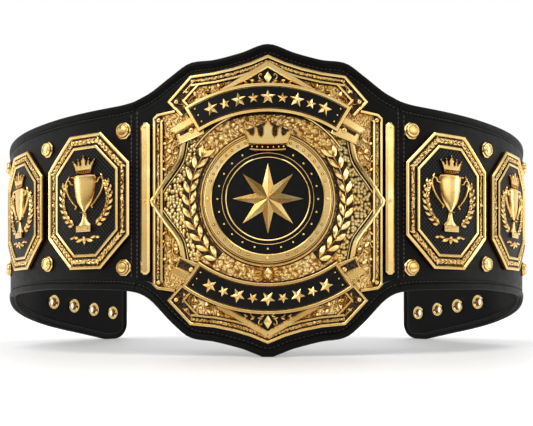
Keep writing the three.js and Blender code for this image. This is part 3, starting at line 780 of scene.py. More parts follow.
# Foliage between the kite frame and the border, right upper quarter: u, v, heading, size, hand.
CORNER_FOLIAGE = (
    (99, 28, 80, 8, 1),
    (100, 39, 95, 9, -1),
    (93, 46, 75, 9, 1),
    (98, 56, 100, 9, -1),
    (90, 60, 120, 7, 1),
    (60, 104, 160, 9, 1),
    (68, 100, 20, 9, -1),
    (76, 104, 65, 8, 1),
    (80, 95, -40, 8, 1),
    (47, 108, 170, 8, -1),
)


def field_between(inner, path):
    """The field between the kite frame and a circle round the centre disc."""
    reach = max(v for _, v in path)
    turn_at = math.degrees(math.asin(reach / math.hypot(path[0][0], reach)))
    curve = arc(0, CENTRE_V, inner, -turn_at, turn_at, 24)
    return on_plate(path) + on_plate(curve)


def plate_grounds():
    """The dark lines that set off the rails, bars, banners and the arch."""
    relief = Relief()
    out = FLOOR + 0.14
    for path in both_ways(crest_line()):
        fill(relief, band(path, *RIM_TO_FIELD), out)
    for path in both_sides(body_line()):
        fill(relief, band(path[1:-1], *RIM_TO_FIELD), out)
    for path in both_sides(kite_line()):
        fill(relief, band(dense(path, step=3), 1.1, -7.6), out)
    for path in both_ways(gable_line()):
        fill(relief, band(path, -4, -GABLE["width"] - 1.2), out)
    for name in BANNERS:
        fill(relief, banner_outline(name, -1.6), out + 0.02)
    fill(relief, band(on_plate(ogee_line()), 1.5, -1.5), out + 0.04)
    fill(relief, circle(*centre_height(), BEZEL["rim"] + 1.4, 96), out + 0.06)
    return relief


def hammered_fields():
    """The crumpled fields over and under the ring."""
    relief = Relief()
    for start in HAMMERED_STARTS:
        end = start + HAMMERED_SWEEP
        outline = arc(0, CENTRE_V, HAMMERED_RADIUS, start, end, 36)
        outline += arc(0, CENTRE_V, BEZEL["rim"] + 0.5, end, start, 30)
        fill(relief, on_plate(outline), FLOOR + 0.07)
    return relief


def crown_shadow():
    """A dark backing that shows in the crown's gaps."""
    relief = Relief()
    outline = on_plate(CROWN_BACK + [(-u, v) for u, v in reversed(CROWN_BACK[:-1])])
    slab(relief, outline, FLOOR, BEZEL["front"] + 0.1, 0.1)
    return relief


def gable_field(name):
    """The field between a gable bar and the outer edge of the banner."""
    sign, centre, outer, _, _ = BANNERS[name]
    top = GABLE["peak"] - GABLE["width"] * math.hypot(1, GABLE["fall"]) - 0.3
    reach = 30
    under = [(u, centre + math.sqrt(outer ** 2 - u ** 2)) for u in range(-reach, reach + 1, 6)]
    side = top - GABLE["fall"] * reach
    outline = [(-reach, side), (0, top), (reach, side)] + under[::-1]
    return flat_field(on_plate(outline if sign > 0 else flip(outline)), FLOOR + 0.9)


# Foliage on a gable's right half: u, v, heading, size, hand.
GABLE_FOLIAGE = ((5, 114.6, 8, 6, 1), (12, 113.5, 0, 6, -1), (19, 112.4, -6, 5, 1), (3, 111.6, -5, 5, -1))
# Leaves beside the gem under the ring: u, v, heading.
GEM_LEAVES = ((4.5, -70.8, 20), (4.5, -70.8, -20), (3, -74.5, -35), (3, -67, 35))
FOLIAGE_LEAST_TONE = 0.7  # the darkest tone of foliage that lies on enamel, which limits its painted shade


def gable_ornament():
    relief = Relief()
    low = FLOOR + 0.9
    for v, half_width, half_height in GEMS:
        gem(relief, 0, PLATE_HEIGHT + v, half_width, half_height, FLOOR, RAIL + 0.2)
    half = Relief()
    for sign in (1, -1):
        for u, v, heading, size, hand in GABLE_FOLIAGE:
            place = (u, PLATE_HEIGHT + sign * v)
            scroll(half, place, sign * heading, size, sign * hand, low, RAIL, 1.5)
            leaf(half, place, sign * (heading - hand * 20), size, 2.2, low, RAIL, 0)
    for u, v, heading in GEM_LEAVES:
        leaf(half, (u, PLATE_HEIGHT + v), heading, 10, 2.2, FLOOR, RAIL - 0.3, -heading)
    half.add_mirrored()
    relief.add([(u, v, out, max(tone, FOLIAGE_LEAST_TONE)) for u, v, out, tone in half.points], half.faces)
    frame_line = moved(((8, 0), (0, 8.4), (-8, 0), (0, -8.4)), 0, PLATE_HEIGHT - 71.5)
    sweep(relief, dense(frame_line, True, 3), half_round(0.9, FLOOR, FLOOR + 1.2, 4), closed=True)
    return relief


def quarters(u, v):
    """The same place in each quarter of the plate."""
    return [(sign_u * u, PLATE_HEIGHT + sign_v * v) for sign_u in (1, -1) for sign_v in (1, -1)]


def plate_beads():
    relief = Relief()
    for screw in SCREWS:
        for place in quarters(*screw):
            bead(relief, place, 2.6, FLOOR, RAIL + 0.6, 16)
    for u, v, radius in SMALL_BEADS:
        for place in quarters(u, v):
            bead(relief, place, radius, RAIL - 1.2, RAIL + 0.8, 10)
    return relief


def screw_wells():
    """Dark round wells under the corner screws."""
    relief = Relief()
    for screw in SCREWS:
        for place in quarters(*screw):
            slab(relief, circle(*place, SCREW_WELL, 16), FLOOR, FLOOR + 1.5, 0.2)
    return relief


# Banners

def banner_outline(name, margin):
    sign, centre, outer, inner, half_angle = BANNERS[name]
    wide = outer - margin
    narrow = inner + margin
    wide_swing = half_angle - math.degrees(margin / wide)
    narrow_swing = half_angle - math.degrees(margin / narrow)
    outline = arc(0, centre, wide, 90 - wide_swing, 90 + wide_swing, 32)
    outline += arc(0, centre, narrow, 90 + narrow_swing, 90 - narrow_swing, 28)
    return on_plate(outline if sign > 0 else flip(outline))


def banner_place(name, share, across=0.0):
    """A place on a banner: share runs from -1 to 1 along it."""
    sign, centre, outer, inner, half_angle = BANNERS[name]
    u, v = polar(0, centre, (outer + inner) / 2 + across, 90 - half_angle * share)
    return (u, PLATE_HEIGHT + sign * v)


def banner_frame(name):
    relief = Relief()
    outline = banner_outline(name, 0)
    section = flat_rail(2.9, BANNER_BACK, BANNER_RIM_FRONT, 0.6, 1.45)
    sweep(relief, outline, section, closed=True)
    line = half_round(0.8, BANNER_FRONT, BANNER_FRONT + 1.2, 4)
    sweep(relief, banner_outline(name, 3.7), line, closed=True)
    # Painted shade on the banner's back.
    fill(relief, outline, BANNER_BACK + 0.05, tone=0.2, facing=-1)
    return relief


def banner_ornament(name):
    """A row of plain five-pointed stars, with three rivets at each end."""
    relief = Relief()
    sign, _, _, _, half_angle = BANNERS[name]
    low = BANNER_FRONT + 0.4
    for i in range(BANNER_STARS):
        share = 0.72 * (2 * i / (BANNER_STARS - 1) - 1)
        tilt = 90 * sign - half_angle * share * sign
        size = 7.2 if i % 2 == 0 else 5.2
        star(relief, banner_place(name, share), 5, size, size * 0.42, low, low + 0.5, low + 1.9, tilt)
    for end in (-0.9, 0.9):
        for across in (-7, 0, 7):
            bead(relief, banner_place(name, end, across), 1.0, low, low + 1.4, 8)
    return relief


def banner_tails(name):
    """The folded ribbon ends that stick out from under a banner."""
    sign = BANNERS[name][0]
    relief = Relief()
    for shape, high in ((TAIL_STRIP, BANNER_FRONT), (TAIL_END, BANNER_FRONT - 1.1)):
        outline = tail_outline(shape, sign)
        slab(relief, outline, BANNER_BACK, high - 0.3, 0.3)
        edge = half_round(1.1, BANNER_BACK, high + 0.3, 4)
        sweep(relief, beside(outline, 0.6, closed=True), edge, closed=True)
    u, v = TAIL_CURL
    bead(relief, (u, PLATE_HEIGHT + sign * v), 2.6, BANNER_BACK, BANNER_FRONT + 0.3, 14)
    relief.add_mirrored()
    return relief


def tail_grounds(name):
    """The dark hollow of each fold."""
    sign = BANNERS[name][0]
    relief = Relief()
    fill(relief, tail_outline(TAIL_HOLLOWS[name], sign), BANNER_FRONT - 1.3)
    relief.add_mirrored()
    return relief


def tail_outline(shape, sign):
    """A tail's shape on the upper or the lower half of the plate, always counter-clockwise."""
    outline = on_plate(shape if sign > 0 else flip(shape))
    return outline if polygon_area(outline) > 0 else list(reversed(outline))


def polygon_area(path):
    return sum(a[0] * b[1] - b[0] * a[1] for a, b in zip(path, path[1:] + path[:1])) / 2


# Centre

def centre_height():
    return (0, PLATE_HEIGHT + CENTRE_V)


def bezel_ring():
    relief = Relief()
    inner, outer = BEZEL["inner"], BEZEL["outer"]
    front = BEZEL["front"]
    section = [
        (BEZEL["rim"], 3.3), (BEZEL["rim"], 4.3), (64.6, 4.8), (63.4, 4.8), (62.9, 4.2), (62.6, 4.2),
        (62.3, 6.3), (61.9, 6.8), (61.3, 6.8), (outer, 6.2), (60.7, 6.2),
        (BEZEL["step"], front - 0.3), (60.1, front),
        (inner + 0.9, front), (inner, front - 0.8), (inner, 3.3),
    ]
    turn(relief, centre_height(), section, 128, closed=True)
    return relief


def on_ring(degrees):
    """A place on the middle line of the ring."""
    return polar(*centre_height(), (BEZEL["inner"] + BEZEL["step"]) / 2, degrees)


def rivet_places():
    for start, pitch, count in RIVET_GROUPS:
        for i in range(count):
            yield on_ring(start + pitch * i)
            yield on_ring(180 - start - pitch * i)


def bezel_beads():
    relief = Relief()
    front = BEZEL["front"]
    for degrees in (0, 180, 270):
        bead(relief, on_ring(degrees), 1.7, front - 0.2, front + 1.2)
    for place in rivet_places():
        bead(relief, place, 0.9, front - 0.2, front + 0.6, 8)
    return relief


def bezel_wells():
    """Small dark wells that each hold a rivet of the ring."""
    relief = Relief()
    front = BEZEL["front"]
    for place in rivet_places():
        slab(relief, circle(*place, 1.35, 8), front - 0.3, front + 0.06, 0.05)
    return relief


def centre_star():
    relief = Relief()
    low = DISC_FRONT + 0.3
    star(relief, centre_height(), 8, 34, 13.5, low, low + 1.0, low + 3.2)
    sweep(relief, circle(*centre_height(), 40, 72), half_round(1.5, low, low + 1.2, 4), closed=True)
    sweep(relief, circle(*centre_height(), 44, 72), half_round(0.8, low, low + 0.8, 4), closed=True)
    for i in range(24):
        bead(relief, polar(*centre_height(), 48.2, 15 * i), 1.2, low, low + 1.2, 10)
    return relief


def laurel_branch():
    relief = Relief()
    low, high = 3.3, 5.9
    radius, start = LAUREL["radius"], LAUREL["start"]
    stem = [polar(*centre_height(), radius, start + i * 3) for i in range(29)]
    sweep(relief, stem, half_round(1.5, low, low + 1.8, 4))
    for i in range(LAUREL["pairs"]):
        degrees = start + LAUREL["sweep"] * i / (LAUREL["pairs"] - 1)
        for side in (1, -1):
            root = polar(*centre_height(), radius, degrees + (1.5 if side > 0 else 0))
            heading = degrees + 90 + side * 27
            leaf(relief, root, heading, LAUREL["length"], LAUREL["width"], low, high, -side * 24)
    leaf(relief, stem[-1], 126, 13, 4.6, low, high, 10)
    return relief


def laurel_ground():
    start = LAUREL["start"]
    outline = arc(*centre_height(), 83.2, start, 38, 30) + arc(*centre_height(), 67, 36, start, 30)
    return flat_field(outline, FLOOR + 0.14)


# Side plates

def octagon(scale, margin):
    half_width, half_height, cut = OCTAGON["half_width"], OCTAGON["half_height"], OCTAGON["cut"]
    right = [(half_width, half_height - cut), (half_width - cut, half_height)]
    corner = right + mirror(right)
    outline = [(u * scale, v * scale) for u, v in corner]
    outline += [(-u, -v) for u, v in outline]
    return beside(outline, margin, closed=True)


def side_outline(name, margin):
    along, scale = SIDE_PLATES[name]
    return moved(octagon(scale, margin * scale), along, SIDE_CENTRE)


def side_frame(name):
    """The two plain rails of the octagonal frame."""
    relief = Relief()
    rim = [(0, 0.3), (3.6, 0.3), (3.6, SIDE_RAIL - 1.4), (2.4, SIDE_RAIL)]
    rim += [(1.2, SIDE_RAIL), (0, SIDE_RAIL - 1.2)]
    sweep(relief, dense(side_outline(name, 0), True), rim, closed=True)
    inner = flat_rail(2.8, SIDE_FLOOR - 0.2, SIDE_RAIL, 0.7)
    sweep(relief, dense(side_outline(name, 14), True), inner, closed=True)
    return relief


def side_runs(name):
    """The eight sides of the octagon's middle line: start, end, and whether the side is upright."""
    seats = side_outline(name, SIDE_MIDDLE)
    return [(start, seats[(i + 1) % len(seats)], i % 4 == 3) for i, start in enumerate(seats)]


def side_planks(name):
    """A raised strip along each side of the octagon."""
    scale = SIDE_PLATES[name][1]
    relief = Relief()
    for start, end, upright in side_runs(name):
        width = (3.2 if upright else 5.0) * scale
        line = without_rail_ends(dense([start, end], step=2), 1.2)
        sweep(relief, line, flat_rail(width, SIDE_FLOOR - 0.2, SIDE_PLANK, 0.5))
    return relief


def side_ornament(name):
    """Foliage on the strips, with beads at their ends and middles."""
    scale = SIDE_PLATES[name][1]
    relief = Relief()
    for start, end, upright in side_runs(name):
        middle = middle_of(start, end)
        if not upright:
            for half in ([middle, start], [middle, end]):
                engraved_sprig(relief, half, scale, SIDE_PLANK)
        bead(relief, start, 1.9 * scale, SIDE_FLOOR, SIDE_RAIL + 0.3)
        bead(relief, middle, 2.0 * scale, SIDE_FLOOR, SIDE_RAIL + 0.4)
    return relief


def engraved_sprig(relief, line, scale, top):
    """Leaves in pairs along half a strip, from its middle bead outwards."""
    for point, heading in walk(dense(line), 5.2 * scale, 3.4 * scale):
        for lean in (26, -26):
            leaf(relief, point, heading + lean, 5.2 * scale, 1.7 * scale, top - 0.1, top + 0.6, -lean)


# The cup in outline, from its foot up: height, half width.
CUP = (
    (-24.5, 8.6), (-23.2, 8.0), (-20.5, 4.8), (-16, 2.9), (-12.5, 2.2), (-11.6, 3.2),
    (-10.6, 3.2), (-9.8, 2.2), (-8, 3.2), (-4.6, 6.6), (0, 9.6), (6, 12),
    (13, 13.4), (20, 14.2), (24, 14.6), (24.8, 15.4), (26.6, 15.4),
)
CUP_WIDEST = 15.4
# Bars across the cup: height, width.
CUP_BARS = ((25.7, 31), (-11.1, 7))
# Steps of the cup's foot: half width, bottom, top, rise, bevel.
CUP_FEET = ((9.4, -31, -24.8, 3, 0.6), (6.6, -29.4, -26.4, 3.5, 0.3))
WREATH = {"radius": 30.6, "start": -61, "pitch": 11.6, "pairs": 8}
HANDLE = (
    (14, 18.4), (17, 19), (19, 22.2), (22, 23.2), (24.2, 20.4), (23.8, 15), (21.4, 8.6),
    (17.6, 3), (12.8, -2.4), (10, -4.8), (11.8, -7.4),
)
HORN = ((23.6, 22), 118, 7.5, 2)  # the leaf on a handle: root, heading, length, width
# Leaves of the flourish under the cup: place, heading, length, width.
FLOURISH = ((1, -37.5, -16, 12, 3.4), (7, -37.2, 14, 9, 3), (13, -36, -8, 8, 2.6))


def trophy(name):
    along, scale = SIDE_PLATES[name]
    centre = (along, SIDE_CENTRE)
    relief = Relief()
    low = SIDE_FIELD
    body = [(0, height) for height, _ in CUP]
    widths = [width / CUP_WIDEST for _, width in CUP]
    dome = half_round(2 * CUP_WIDEST * scale, low, low + 3.6, 14)
    sweep(relief, moved(body, *centre, scale), dome, scales=widths, floor_tone=0.2)
    for height, width in CUP_BARS:
        line = moved([(width / 2, height), (-width / 2, height)], *centre, scale)
        sweep(relief, dense(line), half_round(2.2 * scale, low, low + 3.9, 4))
    for half, bottom, top, rise, bevel in CUP_FEET:
        foot = moved(((-half, bottom), (half, bottom), (half, top), (-half, top)), *centre, scale)
        slab(relief, foot, low, low + rise, bevel)
    crown(relief, 0.57 * scale, (along, SIDE_CENTRE + 28.4 * scale), low, low + 2.6)
    for side in (1, -1):
        handle = moved(smooth([(side * u, v) for u, v in HANDLE]), *centre, scale)
        sweep(relief, handle, half_round(1.7 * scale, low, low + 2.4, 5), floor_tone=0.4)
        (u, v), heading, length, width = HORN
        root = placed(side * u, v, centre, scale)
        way = heading if side > 0 else 180 - heading
        leaf(relief, root, way, length * scale, width * scale, low, low + 2)
        trophy_branch(relief, centre, scale, side, low)
        trophy_flourish(relief, centre, scale, side, low)
    drop = placed(0, -37, centre, scale)
    leaf(relief, drop, -90, 7 * scale, 4.4 * scale, low, low + 2.2)
    bead(relief, drop, 1.7 * scale, low, low + 2.4)
    return relief


def trophy_branch(relief, centre, scale, side, low):
    """One half of the wreath round the cup: pairs of plump leaves on a thin stem."""
    swings = [WREATH["start"] + WREATH["pitch"] * i for i in range(WREATH["pairs"])]
    ways = [swing if side > 0 else 180 - swing for swing in swings]
    stem = moved([polar(0, 3, WREATH["radius"], way) for way in ways], *centre, scale)
    sweep(relief, stem, half_round(0.8 * scale, low, low + 1.2, 4))
    for root, swing in zip(stem, swings):
        heading = swing + 90 if side > 0 else 90 - swing
        for lean in (28, -28):
            leaf(relief, root, heading + lean, 8.6 * scale, 3.1 * scale, low, low + 2.2, -lean * 0.7)
    leaf(relief, stem[-1], heading, 8.4 * scale, 3 * scale, low, low + 2.2)


def trophy_flourish(relief, centre, scale, side, low):
    """The swept leaves under the cup's foot, on one side."""
    for u, v, heading, size, width in FLOURISH:
        root = placed(side * u, v, centre, scale)
        way = heading if side > 0 else 180 - heading
        leaf(relief, root, way, size * scale, width * scale, low, low + 2.1, side * 24)


# Fastenings

def stud(name, sign):
    along, half_spacing = STUD_PAIRS[name]
    centre = (along, SIDE_CENTRE + sign * half_spacing)
    relief = Relief()
    turn(relief, centre, [(8.8, 0.3), (8.8, 1.7), (7.9, 2.6), (7.0, 2.7)], 8, start=22.5)
    button = [
        (7.1, 2.2), (7.1, 3.6), (6.8, 4.4), (6.1, 5), (5.6, 5), (5.2, 4.4),
        (4.8, 4.4), (4.5, 4.8), (3.2, 5.1), (1.6, 5.3), (0.4, 5.35),
    ]
    turn(relief, centre, button, 32)
    return relief


def side_bar():
    relief = Relief()
    half, chamfer = BAR["half_width"], BAR["chamfer"]
    cut = 2.9
    low, high = BAR["low"], BAR["high"]
    corner = [(half, high - cut), (half - cut, high), (cut - half, high), (-half, high - cut)]
    foot = [(-half, low + cut), (cut - half, low), (half - cut, low), (half, low + cut)]
    slab(relief, moved(corner + foot, BAR["along"], 0), 0.3, BAR["front"], chamfer)
    for height, radius in (((low + high) / 2 - 2, 1.6), (high - 5, 1.1)):
        bead(relief, (BAR["along"], height), radius, BAR["front"] - 0.2, BAR["front"] + 1.1, 12)
    return relief


def eyelet(index):
    relief = Relief()
    front = 0.3
    back = -2 * LEATHER - 2 * LAYER_GAP
    flange = [(10, 0), (9.8, 0.7), (9.1, 1.2), (8.1, 1.4), (7.0, 1.2), (6.0, 0.5), (5.5, -0.8)]
    section = [(radius, front + rise) for radius, rise in flange]
    section += [(radius, back - rise) for radius, rise in reversed(flange)]
    section += [(6.3, back), (6.3, front)]
    turn(relief, EYELETS[index], section, 40, closed=True)
    margin = 0.2
    # Painted shade: the bore is dark, and the faces keep their full tone.
    for i, (along, height, out, _) in enumerate(relief.points):
        on_face = out > front - margin or out < back + margin
        relief.points[i] = (along, height, out, 1.0 if on_face else BORE_SHADE_TONE)
    return relief


# Materials

UV_UNIT = 100.0  # mm of strap space in one unit of the pieces' flat coordinates


def new_material(name, colour, roughness, metallic=0.0):
    material = bpy.data.materials.new(name)
    material.use_nodes = True
    nodes = material.node_tree.nodes
    shader = nodes["Principled BSDF"]
    shader.inputs["Base Color"].default_value = (*colour, 1)
    shader.inputs["Roughness"].default_value = roughness
    shader.inputs["Metallic"].default_value = metallic
    return material, nodes, material.node_tree.links, shader


def strap_coordinates(nodes):
    """The flat coordinates of strap space, in units of UV_UNIT."""
    uv = nodes.new("ShaderNodeUVMap")
    uv.uv_map = "strap"
    return uv.outputs["UV"]


def ramp(nodes, links, factor, stops):
    node = nodes.new("ShaderNodeValToRGB")
    links.new(factor, node.inputs["Fac"])
    elements = node.color_ramp.elements
    for i, (position, colour) in enumerate(stops):
        element = elements[i] if i < 2 else elements.new(position)
        element.position = position
        element.color = (*colour, 1)
    return node.outputs["Color"]


def texture(nodes, links, kind, vector, values):
    node = nodes.new(f"ShaderNodeTex{kind}")
    links.new(vector, node.inputs["Vector"])
    for socket, value in values.items():
        node.inputs[socket].default_value = value
    return node


def noise(nodes, links, vector, scale, detail=3.0, roughness=0.55):
    values = {"Scale": scale, "Detail": detail, "Roughness": roughness}
    return texture(nodes, links, "Noise", vector, values).outputs["Fac"]


def math_node(nodes, links, operation, first, second):
    node = nodes.new("ShaderNodeMath")
    node.operation = operation
    for socket, value in zip(node.inputs, (first, second)):
        if isinstance(value, (int, float)):
            socket.default_value = value
        else:
            links.new(value, socket)
    return node.outputs[0]


def mix_colour(nodes, links, factor, first, second, blend="MIX"):
    node = nodes.new("ShaderNodeMix")
    node.data_type = "RGBA"
    node.blend_type = blend
    for socket, value in ((node.inputs[0], factor), (node.inputs[6], first), (node.inputs[7], second)):
        if isinstance(value, (int, float)):
            socket.default_value = value
        elif isinstance(value, tuple):
            socket.default_value = (*value, 1)
        else:
            links.new(value, socket)
    return node.outputs[2]


def bump(nodes, links, shader, height, strength, distance):
    node = nodes.new("ShaderNodeBump")
    node.inputs["Strength"].default_value = strength
    node.inputs["Distance"].default_value = distance
    links.new(height, node.inputs["Height"])
    links.new(node.outputs["Normal"], shader.inputs["Normal"])


GOLD = (0.89, 0.60, 0.20)
PALE_GOLD = (0.97, 0.73, 0.32)
DEEP_GOLD = (0.62, 0.33, 0.07)
ANTIQUE_BLACK_AND_SHADE = (0.045, 0.02, 0.006)
# Painted shade: the colours that darken gold in its crevices.
PAINTED_CREVICE_SHADE = (0.02, 0.008, 0.002)
HALF_SHADE = (0.42, 0.25, 0.09)
WHITE = (1, 1, 1)
SHADE_REACH = 0.0028  # how far the painted crevice shade looks for other relief, m


def with_painted_shade(nodes, links, colour, reach=SHADE_REACH):
    """The colour, darkened by painted shade where other relief stands close round it."""
    around = nodes.new("ShaderNodeAmbientOcclusion")
    around.samples = 8
    around.inputs["Distance"].default_value = reach
    shade = ramp(nodes, links, around.outputs["AO"], ((0.15, PAINTED_CREVICE_SHADE), (0.55, HALF_SHADE), (0.88, WHITE)))
    return mix_colour(nodes, links, 1.0, colour, shade, "MULTIPLY")


def drifting_gold(nodes, links, vector):
    """A slow drift between deep and pale gold."""
    return ramp(nodes, links, noise(nodes, links, vector, 3.6, 2.0), ((0.35, GOLD), (0.65, PALE_GOLD)))


def gold_colour(nodes, links, vector, reach):
    """Painted shade from the tone: dark low on each relief, along with the antique black in its grooves, and
    plain gold on the tops. Stains add a little random unevenness.
    """
    tone = nodes.new("ShaderNodeVertexColor")
    tone.layer_name = "tone"
    stain = noise(nodes, links, vector, 14.0, 3.0)
    level = math_node(nodes, links, "MULTIPLY_ADD", stain, 0.16)
    level.node.inputs[2].default_value = -0.08
    dimmer = math_node(nodes, links, "ADD", tone.outputs["Color"], level)
    # Painted shade and antique black from the tone, with a little stain.
    shade = ramp(nodes, links, dimmer, ((0.05, ANTIQUE_BLACK_AND_SHADE), (0.34, DEEP_GOLD), (0.62, WHITE)))
    plain = drifting_gold(nodes, links, vector)
    return with_painted_shade(nodes, links, mix_colour(nodes, links, 1.0, plain, shade, "MULTIPLY"), reach)


def polished_gold(name, reach):
    """Smooth gold. Reach is how far its painted crevice shade looks for other relief."""
    material, nodes, links, shader = new_material(name, GOLD, 0.25, 1.0)
    vector = strap_coordinates(nodes)
    links.new(gold_colour(nodes, links, vector, reach), shader.inputs["Base Color"])
    rough = ramp(nodes, links, noise(nodes, links, vector, 9.0), ((0.3, (0.2,) * 3), (0.75, (0.28,) * 3)))
    links.new(rough, shader.inputs["Roughness"])
    bump(nodes, links, shader, noise(nodes, links, vector, 60.0, 2.0), 0.05, 0.0004)
    return material


def pebbled_gold(name, cell, depth, warp_size, gap):
    """Gold covered in small rounded scales. Gap is the colour between them."""
    material, nodes, links, shader = new_material(name, GOLD, 0.3, 1.0)
    vector = strap_coordinates(nodes)
    warp = texture(nodes, links, "Noise", vector, {"Scale": 22.0})
    shifted = nodes.new("ShaderNodeVectorMath")
    shifted.operation = "MULTIPLY_ADD"
    links.new(warp.outputs["Color"], shifted.inputs[0])
    shifted.inputs[1].default_value = (warp_size, warp_size, 0)
    links.new(vector, shifted.inputs[2])
    spread = {"Scale": UV_UNIT / cell, "Randomness": 0.75}
    cells = texture(nodes, links, "Voronoi", shifted.outputs[0], spread)
    cells.voronoi_dimensions = "2D"
    distance = cells.outputs["Distance"]
    plain = drifting_gold(nodes, links, vector)
    between = tuple((1 + 2 * part) / 3 for part in gap)
    shade = ramp(nodes, links, distance, ((0.26, WHITE), (0.46, between), (0.64, gap)))
    colour = mix_colour(nodes, links, 1.0, plain, shade, "MULTIPLY")
    links.new(with_painted_shade(nodes, links, colour), shader.inputs["Base Color"])
    height = math_node(nodes, links, "MULTIPLY", distance, -1.0)
    bump(nodes, links, shader, height, 1.0, depth)
    return material


def engraved_gold(name, darkening):
    """Gold with fine engraved swirls. The larger the offset, the darker the gold and the fewer its bright
    tops.
    """
    material, nodes, links, shader = new_material(name, GOLD, 0.34, 1.0)
    vector = strap_coordinates(nodes)
    swirls = {"Scale": 9.0, "Distortion": 14.0, "Detail": 2.5, "Detail Scale": 2.2}
    waves = texture(nodes, links, "Wave", vector, swirls)
    grain = noise(nodes, links, vector, 60.0, 3.0)
    height = math_node(nodes, links, "ADD", waves.outputs["Fac"], grain)
    plain = drifting_gold(nodes, links, vector)
    dimmer = math_node(nodes, links, "SUBTRACT", height, darkening)
    stops = ((0.42, (0.08, 0.035, 0.008)), (0.66, (0.55, 0.34, 0.13)), (0.95, WHITE))
    shade = ramp(nodes, links, dimmer, stops)
    colour = mix_colour(nodes, links, 1.0, plain, shade, "MULTIPLY")
    links.new(with_painted_shade(nodes, links, colour), shader.inputs["Base Color"])
    bump(nodes, links, shader, height, 0.8, 0.0006)
    return material


def antique_ground():
    material, nodes, links, shader = new_material("antique_ground", ANTIQUE_BLACK_AND_SHADE, 0.5, 0.6)
    vector = strap_coordinates(nodes)
    blotch = noise(nodes, links, vector, 40.0, 4.0)
    colour = ramp(nodes, links, blotch, ((0.42, (0.006, 0.004, 0.003)), (0.75, (0.14, 0.07, 0.02))))
    links.new(colour, shader.inputs["Base Color"])
    bump(nodes, links, shader, blotch, 0.5, 0.0004)
    return material


def black_enamel():
    material, nodes, links, shader = new_material("black_enamel", (0.006, 0.006, 0.007), 0.3)
    vector = strap_coordinates(nodes)
    haze = noise(nodes, links, vector, 12.0, 4.0)
    colour = ramp(nodes, links, haze, ((0.3, (0.003, 0.003, 0.003)), (0.8, (0.007, 0.007, 0.007))))
    links.new(colour, shader.inputs["Base Color"])
    rough = ramp(nodes, links, haze, ((0.3, (0.34,) * 3), (0.8, (0.48,) * 3)))
    links.new(rough, shader.inputs["Roughness"])
    shader.inputs["Specular IOR Level"].default_value = 0.15
    bump(nodes, links, shader, noise(nodes, links, vector, 160.0, 2.0), 0.1, 0.0002)
    return material


HATCH_PITCH = 1.6


def hatched_enamel():
    """Black enamel over a ground that is engraved with crossed lines."""
    material, nodes, links, shader = new_material("hatched_enamel", (0.006, 0.006, 0.007), 0.35)
    vector = strap_coordinates(nodes)
    lines = []
    for degrees in (45, -45):
        turned = nodes.new("ShaderNodeVectorRotate")
        turned.rotation_type = "Z_AXIS"
        turned.inputs["Angle"].default_value = math.radians(degrees)
        links.new(vector, turned.inputs["Vector"])
        rows = {"Scale": UV_UNIT / (HATCH_PITCH * 2 * math.pi), "Distortion": 0.3}
        wave = texture(nodes, links, "Wave", turned.outputs[0], rows)
        lines.append(wave.outputs["Fac"])
    crossed = math_node(nodes, links, "MULTIPLY", *lines)
    colour = ramp(nodes, links, crossed, ((0.35, (0.002, 0.002, 0.002)), (0.95, (0.03, 0.026, 0.02))))
    links.new(colour, shader.inputs["Base Color"])
    shader.inputs["Specular IOR Level"].default_value = 0.12
    bump(nodes, links, shader, crossed, 0.7, 0.0005)
    return material


def black_leather(name, grain, roughness):
    """Black leather: fine pebbled grain, faint creases, and a soft uneven sheen."""
    material, nodes, links, shader = new_material(name, (0.012, 0.012, 0.013), roughness)
    vector = strap_coordinates(nodes)
    cells = texture(nodes, links, "Voronoi", vector, {"Scale": UV_UNIT / grain})
    cells.voronoi_dimensions = "2D"
    creases = noise(nodes, links, vector, 9.0, 5.0, 0.6)
    cloud = noise(nodes, links, vector, 3.0, 3.0)
    colour = ramp(nodes, links, cloud, ((0.3, (0.0022, 0.0021, 0.002)), (0.75, (0.0045, 0.0043, 0.004))))
    links.new(colour, shader.inputs["Base Color"])
    spread = ((0.3, (roughness - 0.08,) * 3), (0.8, (roughness + 0.1,) * 3))
    links.new(ramp(nodes, links, creases, spread), shader.inputs["Roughness"])
    shader.inputs["Specular IOR Level"].default_value = 0.1
    height = math_node(nodes, links, "MULTIPLY_ADD", creases, 1.2)
    links.new(cells.outputs["Distance"], height.node.inputs[2])
    bump(nodes, links, shader, height, 0.28, 0.0005)
    return material


def black_thread():
    material, nodes, links, shader = new_material("black_thread", (0.02, 0.02, 0.021), 0.42)
    vector = strap_coordinates(nodes)
    twist = texture(nodes, links, "Wave", vector, {"Scale": 60.0})
    twist.bands_direction = "DIAGONAL"
    colour = ramp(nodes, links, twist.outputs["Fac"], ((0.2, (0.008,) * 3), (0.8, (0.03,) * 3)))
    links.new(colour, shader.inputs["Base Color"])
    bump(nodes, links, shader, twist.outputs["Fac"], 0.5, 0.0003)
    return material


MATERIALS = {
    "gold": polished_gold("polished_gold", SHADE_REACH),
    "bright": polished_gold("bright_gold", SHADE_REACH / 6),
    "pebbled": pebbled_gold("pebbled_gold", 3.4, 0.0011, 0.02, (0.05, 0.022, 0.006)),
    "hammered": pebbled_gold("hammered_gold", 3.8, 0.0013, 0.09, (0.3, 0.16, 0.05)),
    "engraved": engraved_gold("engraved_gold", 0.0),
    "dimmer": engraved_gold("darker_engraved_gold", 0.2),
    "ground": antique_ground(),
    "enamel": black_enamel(),
    "hatched": hatched_enamel(),
    "leather": black_leather("black_leather", 1.1, 0.46),
    "lining": black_leather("black_lining", 1.5, 0.4),
    "thread": black_thread(),
}


# Making the objects

SOFT = math.radians(38)  # edges flatter than this are smoothed
CRISP = math.radians(16)


